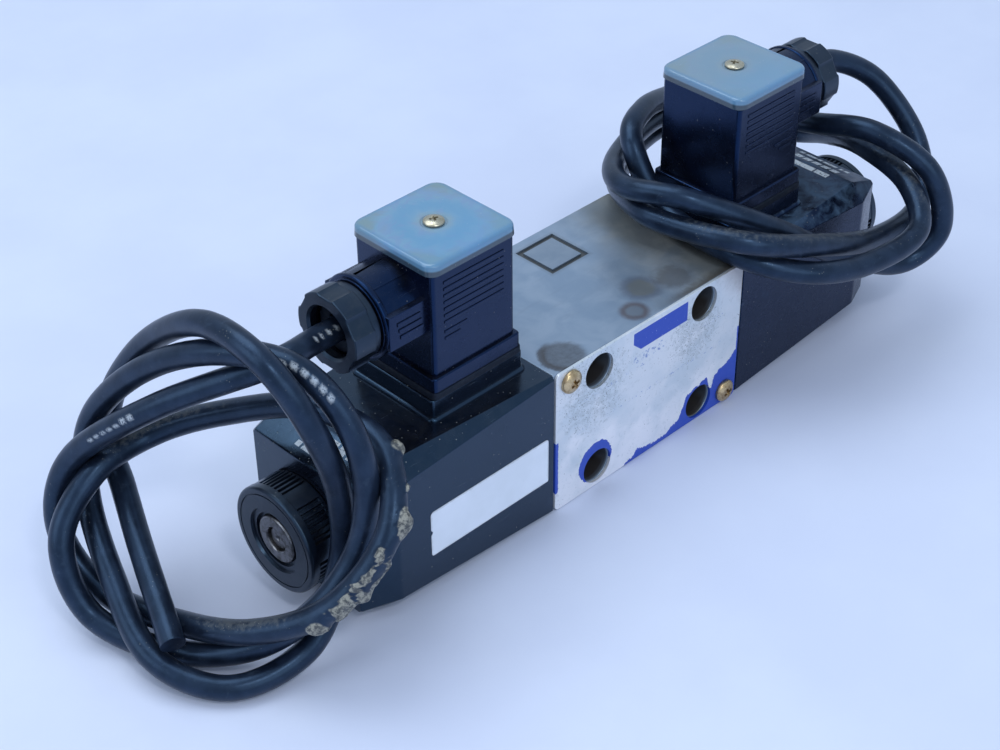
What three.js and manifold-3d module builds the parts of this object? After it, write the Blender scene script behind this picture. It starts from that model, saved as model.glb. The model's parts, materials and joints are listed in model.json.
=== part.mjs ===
// Double-solenoid, spring-centred, wet-armature directional valve of the common size-6 pattern.
// Millimetres. +X runs along the spool towards solenoid b, +Y points out of the port face,
// +Z points towards the plugs. The origin is the centre of the port face.
// The valve lies on the side of its body, z = -22.

import * as THREE from 'three';
import { mergeVertices } from 'three/addons/utils/BufferGeometryUtils.js';
import { ConvexGeometry } from 'three/addons/geometries/ConvexGeometry.js';
import Module from 'manifold-3d';

const wasm = await Module();
wasm.setup();

// ---- driving dimensions -------------------------------------------------------------------

const BODY = { halfX: 36.5, depth: 49.2, halfZ: 22 };
const PLATE = { halfX: 36, halfZ: 21.9, thick: 0.8, corner: 1.5 };
const AXIS_Y = -27.4;
const STROKE = 3;
const RUNNING_GAP = 0.1;

// Mounting bolts: the +X pair sits 0.75 mm wider than the -X pair, so the valve fits one way round.
const BOLT = { x: 20.25, zNear: 15.5, zFar: 16.25, throughR: 2.75, boreR: 5.1, boreDepth: 14 };
const PORT = { r: 3, ringR: 6.1, ringDepth: 1.3 };
const PORTS = {
  p: { x: 1.25, z: 10.4, depth: 22 },
  a: { x: -7.55, z: 0, depth: 19.9 },
  b: { x: 9.95, z: 0, depth: 19.9 },
  t: { x: 1.25, z: -10.4, depth: 20 },
};
const PORT_SEAL = { rIn: 4.3, rOut: 5.9, thick: 1.2, sunk: 0.03 };
const GALLERY = { y: -20, z: -10.4, r: 2.4, halfX: 20 };
const PLATE_SCREW = {
  headR: 3.3, headHeight: 1.9, shankR: 1.4, length: 6.5, recess: 1.1, holeR: 1.6, holeDepth: 7,
};
// The blank adhesive label on the front of solenoid a.
const LABEL = { x0: -79.2, x1: -38.7, z0: -9.9, z1: 3.8, thick: 0.15 };

// Spool bore and its ring grooves, measured from the middle of the valve along X.
const BORE_R = 6.5;
const GROOVE = { halfWidth: 2.5, pR: 9, abX: 10, abR: 9, tX: 20, tR: 11.5 };
const SPRING_ROOM = { x: 24.9, r: 9 };
const THREAD_ROOM = { x: 28, r: 11 };
const SPOOL = { neckR: 3.6, inner: 7, innerEnd: 13, outer: 21.5, end: 27.9 };

const COIL = {
  x0: 36.5, shoulder: 89.5, x1: 99.3,
  halfY: 22.5, halfZ: 22, endHalfY: 18.5, endHalfZ: 18.5,
  edge: 0.6, shoulderChamfer: 4.6, endChamfer: 0.6,
  boreR: 9.7, roomR: 17.6, roomX0: 42, roomX1: 92, sealSeatR: 13.2, sealSeat: 1.9,
};
const BOBBIN = { x0: 42.2, x1: 91.8, flange: 1.4, innerR: 9.9, tubeR: 10.9, flangeR: 17.3 };
const WINDING_R = 17;
const COIL_SEAL = { rIn: 11.4, rOut: 12.9, x0: 36.6, x1: 38.2 };
const TUBE = { threadR: 10.8, coilR: 9.5, stubR: 6.5, x0: 28.3, coilX: 36.5, stubX: 98.8, x1: 109 };
const CHAMBER = { springR: 8.2, poleX0: 39.4, poleX1: 48.5, pinR: 2.1, armatureR: 8.2, endX: 92.5 };
const ARMATURE = { x0: CHAMBER.poleX1 + STROKE + 0.5, x1: 88, r: 8, holeR: 1.1, bevel: 0.8 };
const PUSH_PIN = { x0: 28, r: 1.9 };
const SPRING_SEAT = { x0: 28, x1: 29.2, rIn: 2.2, rOut: 7.6 };
const SPRING = { turns: 4, r: 6.4, wireR: 0.6, end: CHAMBER.poleX0 };
const OVERRIDE = {
  recessR: 3.3, recessX: 100.5, headR: 2.9, headX0: 104.5, headX1: 108.2, dimpleR: 1.1, dimple: 0.6,
  stemR: 1.4, tipX: 94.4,
};
const NUT = {
  x0: 99.4, x1: 109.5, r: 14.4, ribDepth: 0.5, bevel: 0.9, holeR: 6.6, recessR: 10, recess: 0.5,
  groups: 6, ribs: 3, ribShare: 0.6, sealSeatR: 11.3,
};
const NUT_SEAL = { rIn: 7.4, rOut: 10.9, thick: 1.8 };

// Plug column, measured from the spool axis: x is the column's distance from mid-valve.
const PLUG_X = 54.7;
const PEDESTAL = { halfX: 15.2, halfY: 14.2, z1: 27.8 };
const GASKET = { half: 14.7, inner: 10.6, z1: 29.8 };
const LIP = { half: 14.4, z1: 33.8 };
const SHELL = { half: 13.4, wall: 2, z1: 62 };
const CAP = { half: 14.25, z0: 62.1, z1: 65.5, corner: 3, skin: 1.6, crown: 0.9, innerHalf: 11.8 };
const CAP_SEAL = { half: 11.2, inner: 9.8, z0: 61.2 };
const INSERT = { half: 10.4, z1: 43, holeR: 1.9 };
const BLADE = { root: 2.5, z1: 41, halfWidth: 3.1, halfThick: 0.4, off: 8 };
const PLUG_SCREW = { r: 1.45, headR: 2.9, headHeight: 1.1, recess: 0.8, tip: 24.6, socketR: 1.7 };
const CABLE_Z = 50.5;
const BOSS = { r: 10.75, x0: 68.1, x1: 80.2, innerR: 7, stubR: 8, stubX: 86 };
const BOSS_PANEL = { x0: 68.3, x1: 79.8, halfZ: 4.5, halfY: 11.2 };
const GLAND = {
  x0: 80.5, collarX: 82.5, x1: 88.9, collarR: 9.6, lobeR: 9.9, lobe: 0.45, lobes: 6,
  threadR: 8.2, holeR: 6.7,
};
const GROMMET = { x0: 80.8, x1: 85.4, rIn: 3.45, rOut: 6.75 };
const CABLE_R = 3.2;

// ---- materials ----------------------------------------------------------------------------

const finish = (color, roughness, metalness) => new THREE.MeshStandardMaterial({ color, roughness, metalness });

const MATERIAL = {
  steel: finish(0x8d97a8, 0.42, 0.9),
  core: finish(0xa7a9ad, 0.35, 1),
  plate: finish(0xc9d2dc, 0.4, 0.7),
  screw: finish(0xa8895a, 0.35, 0.9),
  coil: finish(0x0d1119, 0.22, 0),
  black: finish(0x10141c, 0.45, 0),
  insert: finish(0x2b2f36, 0.5, 0),
  bobbin: finish(0xc9c2a8, 0.55, 0),
  copper: finish(0xb06a3a, 0.3, 0.9),
  brass: finish(0xb99a55, 0.3, 0.9),
  cap: finish(0x7fa6c8, 0.18, 0),
  rubber: finish(0x14161b, 0.7, 0),
  cable: finish(0x171b24, 0.55, 0),
  sticker: finish(0xe6e9ee, 0.6, 0),
};

// ---- solids -------------------------------------------------------------------------------

// Joins the vertices of a closed shape, drops collapsed triangles and turns its faces outwards.
function closed(geometry) {
  const bare = geometry.clone();
  bare.deleteAttribute('normal');
  bare.deleteAttribute('uv');
  const merged = mergeVertices(bare, 1e-4);
  const p = merged.attributes.position.array;
  const all = merged.index.array;
  const kept = [];
  let volume = 0;
  for (let i = 0; i < all.length; i += 3) {
    const [a, b, c] = [all[i], all[i + 1], all[i + 2]];
    if (a === b || b === c || a === c) continue;
    kept.push(a, b, c);
    const u = new THREE.Vector3().fromArray(p, 3 * a);
    const v = new THREE.Vector3().fromArray(p, 3 * b);
    const w = new THREE.Vector3().fromArray(p, 3 * c);
    volume += u.dot(v.cross(w));
  }
  if (volume < 0) {
    for (let i = 0; i < kept.length; i += 3) [kept[i], kept[i + 1]] = [kept[i + 1], kept[i]];
  }
  merged.setIndex(kept);
  return merged;
}

function solid(geometry) {
  const shape = closed(geometry);
  const vertProperties = new Float32Array(shape.attributes.position.array);
  const triVerts = new Uint32Array(shape.index.array);
  return new wasm.Manifold(new wasm.Mesh({ numProp: 3, vertProperties, triVerts }));
}

function surface(manifold) {
  const mesh = manifold.getMesh();
  const geometry = new THREE.BufferGeometry();
  geometry.setAttribute('position', new THREE.BufferAttribute(new Float32Array(mesh.vertProperties), 3));
  geometry.setIndex([...mesh.triVerts]);
  return geometry;
}

// Starts from one shape, adds some and then cuts others away.
function shaped(base, { add = [], cut = [] }) {
  let result = solid(base);
  for (const part of add) result = result.add(solid(part));
  for (const part of cut) result = result.subtract(solid(part));
  return surface(result);
}

const block = (x0, x1, y0, y1, z0, z1) =>
  new THREE.BoxGeometry(x1 - x0, y1 - y0, z1 - z0)
    .translate((x0 + x1) / 2, (y0 + y1) / 2, (z0 + z1) / 2);

const rodX = (r, x0, x1, y = 0, z = 0, sides = 20) =>
  new THREE.CylinderGeometry(r, r, x1 - x0, sides).rotateZ(-Math.PI / 2).translate((x0 + x1) / 2, y, z);

const rodY = (r, y0, y1, x, z, sides = 16) =>
  new THREE.CylinderGeometry(r, r, y1 - y0, sides).translate(x, (y0 + y1) / 2, z);

const rodZ = (r, z0, z1, x = 0, sides = 12) =>
  new THREE.CylinderGeometry(r, r, z1 - z0, sides).rotateX(Math.PI / 2).translate(x, 0, (z0 + z1) / 2);

// A turned shape about the X axis: the profile is a list of [x, radius].
function turned(profile, sides = 20) {
  const points = profile.map(([x, r]) => new THREE.Vector2(r, x));
  return new THREE.LatheGeometry(points, sides).rotateZ(-Math.PI / 2);
}

const ringX = (rIn, rOut, x0, x1, sides = 20) =>
  turned([[x0, rIn], [x0, rOut], [x1, rOut], [x1, rIn], [x0, rIn]], sides);

function roundedSquare(half, corner) {
  const s = new THREE.Shape();
  s.moveTo(half - corner, -half);
  s.absarc(half - corner, corner - half, corner, -Math.PI / 2, 0);
  s.absarc(half - corner, half - corner, corner, 0, Math.PI / 2);
  s.absarc(corner - half, half - corner, corner, Math.PI / 2, Math.PI);
  s.absarc(corner - half, corner - half, corner, Math.PI, 1.5 * Math.PI);
  s.closePath();
  return s;
}

// A prism standing on z0 with the given outline, raised along +Z.
const raised = (shape, z0, z1, curveSegments = 3) =>
  new THREE.ExtrudeGeometry(shape, { depth: z1 - z0, bevelEnabled: false, curveSegments }).translate(0, 0, z0);

// A square frame about the Z axis.
function frame(half, inner, z0, z1) {
  const s = roundedSquare(half, 1.5);
  s.holes.push(roundedSquare(inner, 1));
  return raised(s, z0, z1, 2);
}

function outlineX(shape, x0, x1) {
  const g = new THREE.ExtrudeGeometry(shape, { depth: x1 - x0, bevelEnabled: false });
  return g.rotateX(Math.PI / 2).rotateZ(Math.PI / 2).translate(x0, 0, 0);
}

function named(name, geometry, material) {
  const mesh = new THREE.Mesh(closed(geometry), material);
  mesh.name = name;
  return mesh;
}

// ---- valve body ---------------------------------------------------------------------------

function boltPlaces() {
  const { x, zNear, zFar } = BOLT;
  return [[-x, zNear], [-x, -zNear], [x, zFar], [x, -zFar]];
}

const PLATE_SCREWS = [
  { name: 'nameplate_screw_upper', x: -31, z: 18 },
  { name: 'nameplate_screw_lower', x: 31, z: -18 },
];

// A plain square groove milled in the top of the body.
function topGroove() {
  const centre = { x: 3, y: -10.5 };
  const half = 7;
  const width = 1.5;
  const depth = 0.6;
  const ring = roundedSquare(half, 0.4);
  ring.holes.push(roundedSquare(half - width, 0.3));
  return raised(ring, BODY.halfZ - depth, BODY.halfZ + 1, 1).translate(centre.x, centre.y, 0);
}

function bodyBoltCuts() {
  const back = -BODY.depth;
  return boltPlaces().flatMap(([x, z]) => [
    rodY(BOLT.throughR, back - 1, 1, x, z, 12),
    rodY(BOLT.boreR, back - 1, back + BOLT.boreDepth, x, z),
  ]);
}

function bodyPortCuts() {
  return Object.values(PORTS).flatMap(({ x, z, depth }) => [
    rodY(PORT.r, -depth, 1, x, z, 12),
    rodY(PORT.ringR, -PORT.ringDepth, 1, x, z),
  ]);
}

function bodyBoreCuts() {
  const end = BODY.halfX + 1;
  const groove = (x, r) => rodX(r, x - GROOVE.halfWidth, x + GROOVE.halfWidth, AXIS_Y, 0, 16);
  const cuts = [rodX(BORE_R, -end, end, AXIS_Y), groove(0, GROOVE.pR)];
  for (const s of [-1, 1]) {
    cuts.push(groove(s * GROOVE.abX, GROOVE.abR), groove(s * GROOVE.tX, GROOVE.tR));
    const room = ({ x, r }) => rodX(r, s > 0 ? x : -end, s > 0 ? end : -x, AXIS_Y);
    cuts.push(room(SPRING_ROOM), room(THREAD_ROOM));
  }
  cuts.push(rodX(GALLERY.r, -GALLERY.halfX, GALLERY.halfX, GALLERY.y, GALLERY.z, 10));
  return cuts;
}

function plateScrewHole(x, z) {
  const { holeR, holeDepth } = PLATE_SCREW;
  return rodY(holeR, -BODY.depth - 2, -BODY.depth + holeDepth, x, z, 12);
}

function valveBody() {
  const blank = block(-BODY.halfX, BODY.halfX, -BODY.depth, 0, -BODY.halfZ, BODY.halfZ);
  const screwHoles = PLATE_SCREWS.map(({ x, z }) => plateScrewHole(x, z));
  const cut = [...bodyBoltCuts(), ...bodyPortCuts(), ...bodyBoreCuts(), ...screwHoles, topGroove()];
  return named('valve_body', shaped(blank, { cut }), MATERIAL.steel);
}

function nameplate() {
  const front = -BODY.depth - PLATE.thick;
  const { halfX, halfZ, corner } = PLATE;
  const plan = new THREE.Shape();
  plan.absarc(halfX - corner, halfZ - corner, corner, 0, Math.PI / 2);
  plan.absarc(corner - halfX, halfZ - corner, corner, Math.PI / 2, Math.PI);
  plan.absarc(corner - halfX, corner - halfZ, corner, Math.PI, 1.5 * Math.PI);
  plan.absarc(halfX - corner, corner - halfZ, corner, 1.5 * Math.PI, 2 * Math.PI);
  plan.closePath();
  const sheet = raised(plan, 0, PLATE.thick, 2).rotateX(Math.PI / 2).translate(0, -BODY.depth, 0);
  const holes = boltPlaces().map(([x, z]) => rodY(BOLT.boreR, front - 1, -BODY.depth + 1, x, z));
  const small = PLATE_SCREWS.map(({ x, z }) => plateScrewHole(x, z));
  return named('nameplate', shaped(sheet, { cut: [...holes, ...small] }), MATERIAL.plate);
}

// A pan-head screw with a cross recess, head up along +Z, its seat at z = 0.
function panScrew({ headR, headHeight, shankR, length, recess }) {
  const profile = [
    [-length, 0], [-length, shankR], [0, shankR], [0, headR],
    [0.45 * headHeight, headR], [0.85 * headHeight, 0.7 * headR], [headHeight, 0.4 * headR], [headHeight, 0],
  ];
  const screw = turned(profile, 16).rotateY(-Math.PI / 2);
  const slot = 0.26 * headR;
  const reach = 0.6 * headR;
  const bottom = headHeight - recess;
  const top = headHeight + 1;
  const cross = [
    block(-reach, reach, -slot / 2, slot / 2, bottom, top),
    block(-slot / 2, slot / 2, -reach, reach, bottom, top),
  ];
  return shaped(screw, { cut: cross });
}

function plateScrews() {
  const seat = -BODY.depth - PLATE.thick;
  return PLATE_SCREWS.map(({ name, x, z }) => {
    const mesh = named(name, panScrew(PLATE_SCREW), MATERIAL.screw);
    mesh.rotation.x = Math.PI / 2;
    mesh.position.set(x, seat - 0.01, z);
    return mesh;
  });
}

// Square-section seals, shown squeezed flush with the port face.
function portSeals() {
  return Object.entries(PORTS).map(([letter, { x, z }]) => {
    const ring = ringX(PORT_SEAL.rIn, PORT_SEAL.rOut, 0, PORT_SEAL.thick, 16).rotateZ(-Math.PI / 2);
    const mesh = named(`port_seal_${letter}`, ring, MATERIAL.rubber);
    mesh.position.set(x, -PORT_SEAL.sunk, z);
    return mesh;
  });
}

// ---- spool --------------------------------------------------------------------------------

function spool() {
  const land = BORE_R - RUNNING_GAP;
  const { neckR, inner, innerEnd, outer, end } = SPOOL;
  const half = [
    [inner, neckR], [inner, land], [innerEnd, land], [innerEnd, neckR],
    [outer, neckR], [outer, land], [end, land], [end, 0],
  ];
  const mirrored = half.map(([x, r]) => [-x, r]).reverse();
  const mesh = named('spool', turned([...mirrored, ...half]), MATERIAL.core);
  mesh.position.set(0, AXIS_Y, 0);
  return mesh;
}

// ---- solenoids ----------------------------------------------------------------------------
// Every function below makes its piece for the +X side; the -X side is its mirror image.

function coilSection(x, halfY, halfZ, chamfer) {
  const corners = [];
  for (const sy of [-1, 1]) {
    for (const sz of [-1, 1]) {
      corners.push(new THREE.Vector3(x, sy * halfY, sz * (halfZ - chamfer)));
      corners.push(new THREE.Vector3(x, sy * (halfY - chamfer), sz * halfZ));
    }
  }
  return corners;
}

function coilHousing() {
  const c = COIL;
  const hull = new ConvexGeometry([
    ...coilSection(c.x0, c.halfY, c.halfZ, c.edge),
    ...coilSection(c.shoulder, c.halfY, c.halfZ, c.shoulderChamfer),
    ...coilSection(c.x1, c.endHalfY, c.endHalfZ, c.endChamfer),
  ]);
  const p = PEDESTAL;
  const pedestal = block(PLUG_X - p.halfX, PLUG_X + p.halfX, -p.halfY, p.halfY, c.halfZ - 3, p.z1);
  const bore = rodX(c.boreR, c.x0 - 1, c.x1 + 1);
  const room = rodX(c.roomR, c.roomX0, c.roomX1);
  const sealSeat = rodX(c.sealSeatR, c.x0 - 1, c.x0 + c.sealSeat);
  const slotFloor = p.z1 - BLADE.root - SLOT_GAP;
  const slots = bladePlaces().map((b) => bladeBlock(b, slotFloor, p.z1 + 1, SLOT_GAP, PLUG_X));
  return shaped(hull, { add: [pedestal], cut: [bore, room, sealSeat, ...slots, plugScrewSocket()] });
}

function bobbin() {
  const b = BOBBIN;
  return turned([
    [b.x0, b.innerR], [b.x0, b.flangeR], [b.x0 + b.flange, b.flangeR], [b.x0 + b.flange, b.tubeR],
    [b.x1 - b.flange, b.tubeR], [b.x1 - b.flange, b.flangeR], [b.x1, b.flangeR], [b.x1, b.innerR],
    [b.x0, b.innerR],
  ]);
}

const winding = () => ringX(
  BOBBIN.tubeR + RUNNING_GAP, WINDING_R,
  BOBBIN.x0 + BOBBIN.flange + RUNNING_GAP, BOBBIN.x1 - BOBBIN.flange - RUNNING_GAP,
);

const coilSeal = () => ringX(COIL_SEAL.rIn, COIL_SEAL.rOut, COIL_SEAL.x0, COIL_SEAL.x1);

function coreTube() {
  const t = TUBE;
  const c = CHAMBER;
  return turned([
    [t.x0, c.springR], [t.x0, t.threadR], [t.coilX, t.threadR], [t.coilX, t.coilR], [t.stubX, t.coilR],
    [t.stubX, t.stubR], [t.x1 - 0.5, t.stubR], [t.x1, t.stubR - 0.5], [t.x1, OVERRIDE.recessR],
    [OVERRIDE.recessX, OVERRIDE.recessR], [OVERRIDE.recessX, OVERRIDE.stemR + RUNNING_GAP],
    [c.endX, OVERRIDE.stemR + RUNNING_GAP], [c.endX, c.armatureR],
    [c.poleX1, c.armatureR], [c.poleX1, c.pinR],
    [c.poleX0, c.pinR], [c.poleX0, c.springR], [t.x0, c.springR],
  ]);
}

function armature() {
  const { x0, x1, r, holeR, bevel } = ARMATURE;
  return turned([
    [x0, holeR], [x0, r - bevel], [x0 + bevel, r], [x1 - bevel, r], [x1, r - bevel], [x1, holeR], [x0, holeR],
  ]);
}

function pushPin() {
  const { x0, r } = PUSH_PIN;
  const x1 = ARMATURE.x0 - RUNNING_GAP;
  return turned([[x0, 0], [x0, r], [x1, r], [x1, 0]], 12);
}

function overridePin() {
  const o = OVERRIDE;
  return turned([
    [o.tipX, 0], [o.tipX, o.stemR], [o.headX0, o.stemR], [o.headX0, o.headR], [o.headX1, o.headR],
    [o.headX1, o.dimpleR], [o.headX1 - o.dimple, 0],
  ], 16);
}

const springSeat = () => ringX(SPRING_SEAT.rIn, SPRING_SEAT.rOut, SPRING_SEAT.x0, SPRING_SEAT.x1);

function centringSpring() {
  const { turns, r, wireR, end } = SPRING;
  const x0 = SPRING_SEAT.x1 + wireR + RUNNING_GAP;
  const x1 = end - wireR - RUNNING_GAP;
  class Helix extends THREE.Curve {
    getPoint(t, target = new THREE.Vector3()) {
      const angle = 2 * Math.PI * turns * t;
      return target.set(x0 + (x1 - x0) * t, r * Math.cos(angle), r * Math.sin(angle));
    }
  }
  return sweep(new Helix(), wireR, 5, turns * 14);
}

// A round rod swept along a curve.
function sweep(path, r, sides, steps) {
  const section = new THREE.Shape();
  for (let i = 0; i < sides; i += 1) {
    const angle = (2 * Math.PI * i) / sides;
    const point = [r * Math.cos(angle), r * Math.sin(angle)];
    if (i === 0) section.moveTo(...point);
    else section.lineTo(...point);
  }
  section.closePath();
  return new THREE.ExtrudeGeometry(section, { extrudePath: path, steps, bevelEnabled: false });
}

// A moulded hand nut: groups of ribs around its side alternate with smooth panels.
function coilNut() {
  const n = NUT;
  const { groups, ribs, ribShare } = n;
  const s = new THREE.Shape();
  const put = (r, angle) => {
    const point = [r * Math.cos(angle), r * Math.sin(angle)];
    if (s.curves.length === 0 && s.currentPoint.lengthSq() === 0) s.moveTo(...point);
    else s.lineTo(...point);
  };
  const sector = (2 * Math.PI) / groups;
  const pitch = (sector * ribShare) / ribs;
  for (let g = 0; g < groups; g += 1) {
    for (let i = 0; i < ribs; i += 1) {
      const a = g * sector + i * pitch;
      put(n.r, a);
      put(n.r, a + 0.5 * pitch);
      put(n.r - n.ribDepth, a + 0.6 * pitch);
      put(n.r - n.ribDepth, a + 0.9 * pitch);
    }
    put(n.r, g * sector + 0.7 * sector);
    put(n.r, g * sector + 0.85 * sector);
  }
  s.closePath();
  const grip = outlineX(s, n.x0, n.x1 - n.bevel);
  const faceR = n.r - n.ribDepth - 0.1;
  const face = turned([
    [n.x1 - n.bevel - 0.5, 0], [n.x1 - n.bevel - 0.5, faceR], [n.x1 - n.bevel, faceR],
    [n.x1, faceR - n.bevel + 0.1], [n.x1, 0],
  ], 24);
  const cut = [
    rodX(n.holeR, n.x0 - 1, n.x1 + 1),
    rodX(n.recessR, n.x1 - n.recess, n.x1 + 1),
    rodX(n.sealSeatR, n.x0 - 1, n.x0 + NUT_SEAL.thick + 0.3),
  ];
  return shaped(grip, { add: [face], cut });
}

const nutSeal = () => ringX(NUT_SEAL.rIn, NUT_SEAL.rOut, NUT.x0, NUT.x0 + NUT_SEAL.thick);

// ---- plug ---------------------------------------------------------------------------------
// Plug pieces are drawn about the column's own axis, with x measured outwards from it.

// How much wider than its blade or screw a slot is, on each side.
const SLOT_GAP = 0.15;

// Two blades stand either side of the column and the earth blade stands towards the body.
function bladePlaces() {
  const { halfWidth, halfThick, off } = BLADE;
  return [
    { name: 'terminal_line', x: 0, y: -off, halfX: halfWidth, halfY: halfThick },
    { name: 'terminal_return', x: 0, y: off, halfX: halfWidth, halfY: halfThick },
    { name: 'terminal_earth', x: -off, y: 0, halfX: halfThick, halfY: halfWidth },
  ];
}

const bladeBlock = (b, z0, z1, grow = 0, shift = 0) => block(
  shift + b.x - b.halfX - grow, shift + b.x + b.halfX + grow,
  b.y - b.halfY - grow, b.y + b.halfY + grow, z0, z1,
);

const plugScrewSocket = () => rodZ(PLUG_SCREW.socketR, PLUG_SCREW.tip - 0.4, PEDESTAL.z1 + 1, PLUG_X);

const gasket = () => frame(GASKET.half, GASKET.inner, PEDESTAL.z1, GASKET.z1);

const rodLocalX = (r, x0, x1) => rodX(r, x0 - PLUG_X, x1 - PLUG_X, 0, CABLE_Z);

function plugHousing() {
  const lip = raised(roundedSquare(LIP.half, 1.2), GASKET.z1, LIP.z1, 2);
  const shell = raised(roundedSquare(SHELL.half, 1.2), LIP.z1 - 1, SHELL.z1, 2);
  const boss = rodLocalX(BOSS.r, BOSS.x0 - 4, BOSS.x1);
  const stub = rodLocalX(BOSS.stubR, BOSS.x1 - 1, BOSS.stubX);
  const p = BOSS_PANEL;
  const panel = block(
    p.x0 - PLUG_X - 3, p.x1 - PLUG_X, -p.halfY, 0, CABLE_Z - p.halfZ, CABLE_Z + p.halfZ,
  );
  const inner = SHELL.half - SHELL.wall;
  const room = block(-inner, inner, -inner, inner, GASKET.z1 - 1, SHELL.z1 + 1);
  const cableWay = rodLocalX(BOSS.innerR, BOSS.x0 - 8, BOSS.stubX + 1);
  return shaped(lip, { add: [shell, boss, stub, panel], cut: [room, cableWay] });
}

function plugInsert() {
  const { half, z1, holeR } = INSERT;
  const base = block(-half, half, -half, half, GASKET.z1 + 0.3, z1);
  const slots = bladePlaces().map((b) => bladeBlock(b, GASKET.z1 - 1, BLADE.z1 + 0.4, SLOT_GAP));
  return shaped(base, { cut: [...slots, rodZ(holeR, GASKET.z1 - 1, z1 + 1)] });
}

function plugCap() {
  const c = CAP;
  const outer = raised(roundedSquare(c.half, c.corner), c.z0, c.z1 - c.crown);
  const crown = raised(roundedSquare(c.half - c.crown, c.corner - 0.7 * c.crown), c.z1 - c.crown - 0.3, c.z1);
  const inner = c.innerHalf;
  const hollow = block(-inner, inner, -inner, inner, c.z0 - 1, c.z1 - c.skin);
  return shaped(outer, { add: [crown], cut: [hollow, rodZ(INSERT.holeR, c.z0, c.z1 + 1)] });
}

const capSeal = () => frame(CAP_SEAL.half, CAP_SEAL.inner, CAP_SEAL.z0, CAP.z1 - CAP.skin - 0.05);

function plugScrew() {
  const { r, headR, headHeight, recess, tip } = PLUG_SCREW;
  const length = CAP.z1 - tip;
  return panScrew({ headR, headHeight, shankR: r, length, recess }).translate(0, 0, CAP.z1 + 0.02);
}

function glandNut() {
  const g = GLAND;
  const s = new THREE.Shape();
  const points = 36;
  for (let i = 0; i < points; i += 1) {
    const angle = (2 * Math.PI * i) / points;
    const wave = Math.cos(g.lobes * angle);
    const r = g.lobeR + g.lobe * Math.sign(wave) * Math.abs(wave) ** 0.5;
    const point = [r * Math.cos(angle), r * Math.sin(angle)];
    if (i === 0) s.moveTo(...point);
    else s.lineTo(...point);
  }
  s.closePath();
  const lobes = outlineX(s, g.collarX - PLUG_X, g.x1 - PLUG_X).translate(0, 0, CABLE_Z);
  const collar = rodLocalX(g.collarR, g.x0, g.collarX + 0.5);
  const cut = [rodLocalX(g.threadR, g.x0 - 1, BOSS.stubX + 0.3), rodLocalX(g.holeR, g.x0, g.x1 + 1)];
  return shaped(lobes, { add: [collar], cut });
}

function glandGrommet() {
  const { x0, x1, rIn, rOut } = GROMMET;
  return ringX(rIn, rOut, x0 - PLUG_X, x1 - PLUG_X).translate(0, 0, CABLE_Z);
}

// ---- cables -------------------------------------------------------------------------------
// Way-points of each loose coil in valve coordinates, from inside the gland nut to the cut end.

const CABLE_A = [
  [-66, -27.5, 50.5], [-79, -27.5, 50.5], [-92, -27.5, 50.5], [-106, -27.5, 50.5],
  [-124.5, -7, 37.5], [-136, 14, 17], [-142.5, 14.5, -0.5], [-141.5, 0.5, -13],
  [-136, -21.5, -12.5], [-129, -43, -6], [-117, -58, 4], [-103, -62.5, 20.5], [-93, -50, 32],
  [-96.5, -29.5, 34.5], [-105.5, -7, 25.5], [-117, 7.5, 17.5], [-134, 8.5, 14.5],
  [-147, 6, 2.5], [-148, -3.5, -14], [-140, -22.5, -18.5], [-128, -40, -14],
  [-114.5, -50.5, -2], [-103, -53.5, 15], [-101.5, -51.5, 39], [-106, -39, 55],
  [-114, -19, 54], [-121, 2, 41.5], [-127.5, 16.5, 23], [-133.5, 14, 6], [-141, -4, -5],
  [-146, -25.5, -14.5], [-137, -43, -18.5], [-118, -49, -14.5], [-105, -46.5, 1],
  [-103.5, -46.5, 21.5], [-109.5, -46.5, 44], [-114, -36.5, 60], [-114, -15.5, 60],
  [-115, 5.5, 45.5], [-119.5, 17.5, 27.5], [-123, 18.5, 13], [-126.5, 9, 6],
  [-133.5, -7, -0.5], [-143, -30.5, -9],
];

const CABLE_B = [
  [66, -27.5, 50.5], [77, -27.5, 50.5], [88, -27.5, 50.5], [99, -27.5, 50.5], [110, -36, 43],
  [114, -49, 27], [104, -59, 14.5], [79, -62.5, 16], [51.5, -62.5, 26], [31, -56, 33],
  [23.5, -37.5, 33], [23, -22.5, 33], [39, -1, 27.5], [68, 10.5, 25.5], [96, 6, 25.5],
  [101, -7, 26.5], [94, -18.5, 30.5], [90, -30.5, 35], [93, -48, 38], [99, -64, 29.5],
  [101.5, -68.5, 11.5], [90.5, -63.5, 2.5], [68.5, -57, 13], [43.5, -51, 30.5],
  [26, -37, 40.5], [21.5, -18.5, 39], [35.5, -4, 36], [65, 6, 33], [82, 1.5, 23.5],
  [104, -0.5, 15], [112.5, -9.5, 14.5], [109, -22.5, 20.5], [100, -40.5, 27.5],
  [94.5, -60, 26], [85, -71.5, 19.5], [64, -70.5, 18], [44.5, -64.5, 21.5], [33, -49, 25.5],
  [33.5, -23.5, 28], [35, -9.5, 43], [48, -2, 45], [70, 5.5, 38.5],
];

function cable(name, waypoints) {
  const points = waypoints.map((p) => new THREE.Vector3(...p));
  const route = new THREE.CatmullRomCurve3(points, false, 'catmullrom', 0.5);
  route.arcLengthDivisions = 1200;
  return named(name, sweep(route, CABLE_R, 8, 96), MATERIAL.cable);
}

// ---- assembly -----------------------------------------------------------------------------

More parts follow.
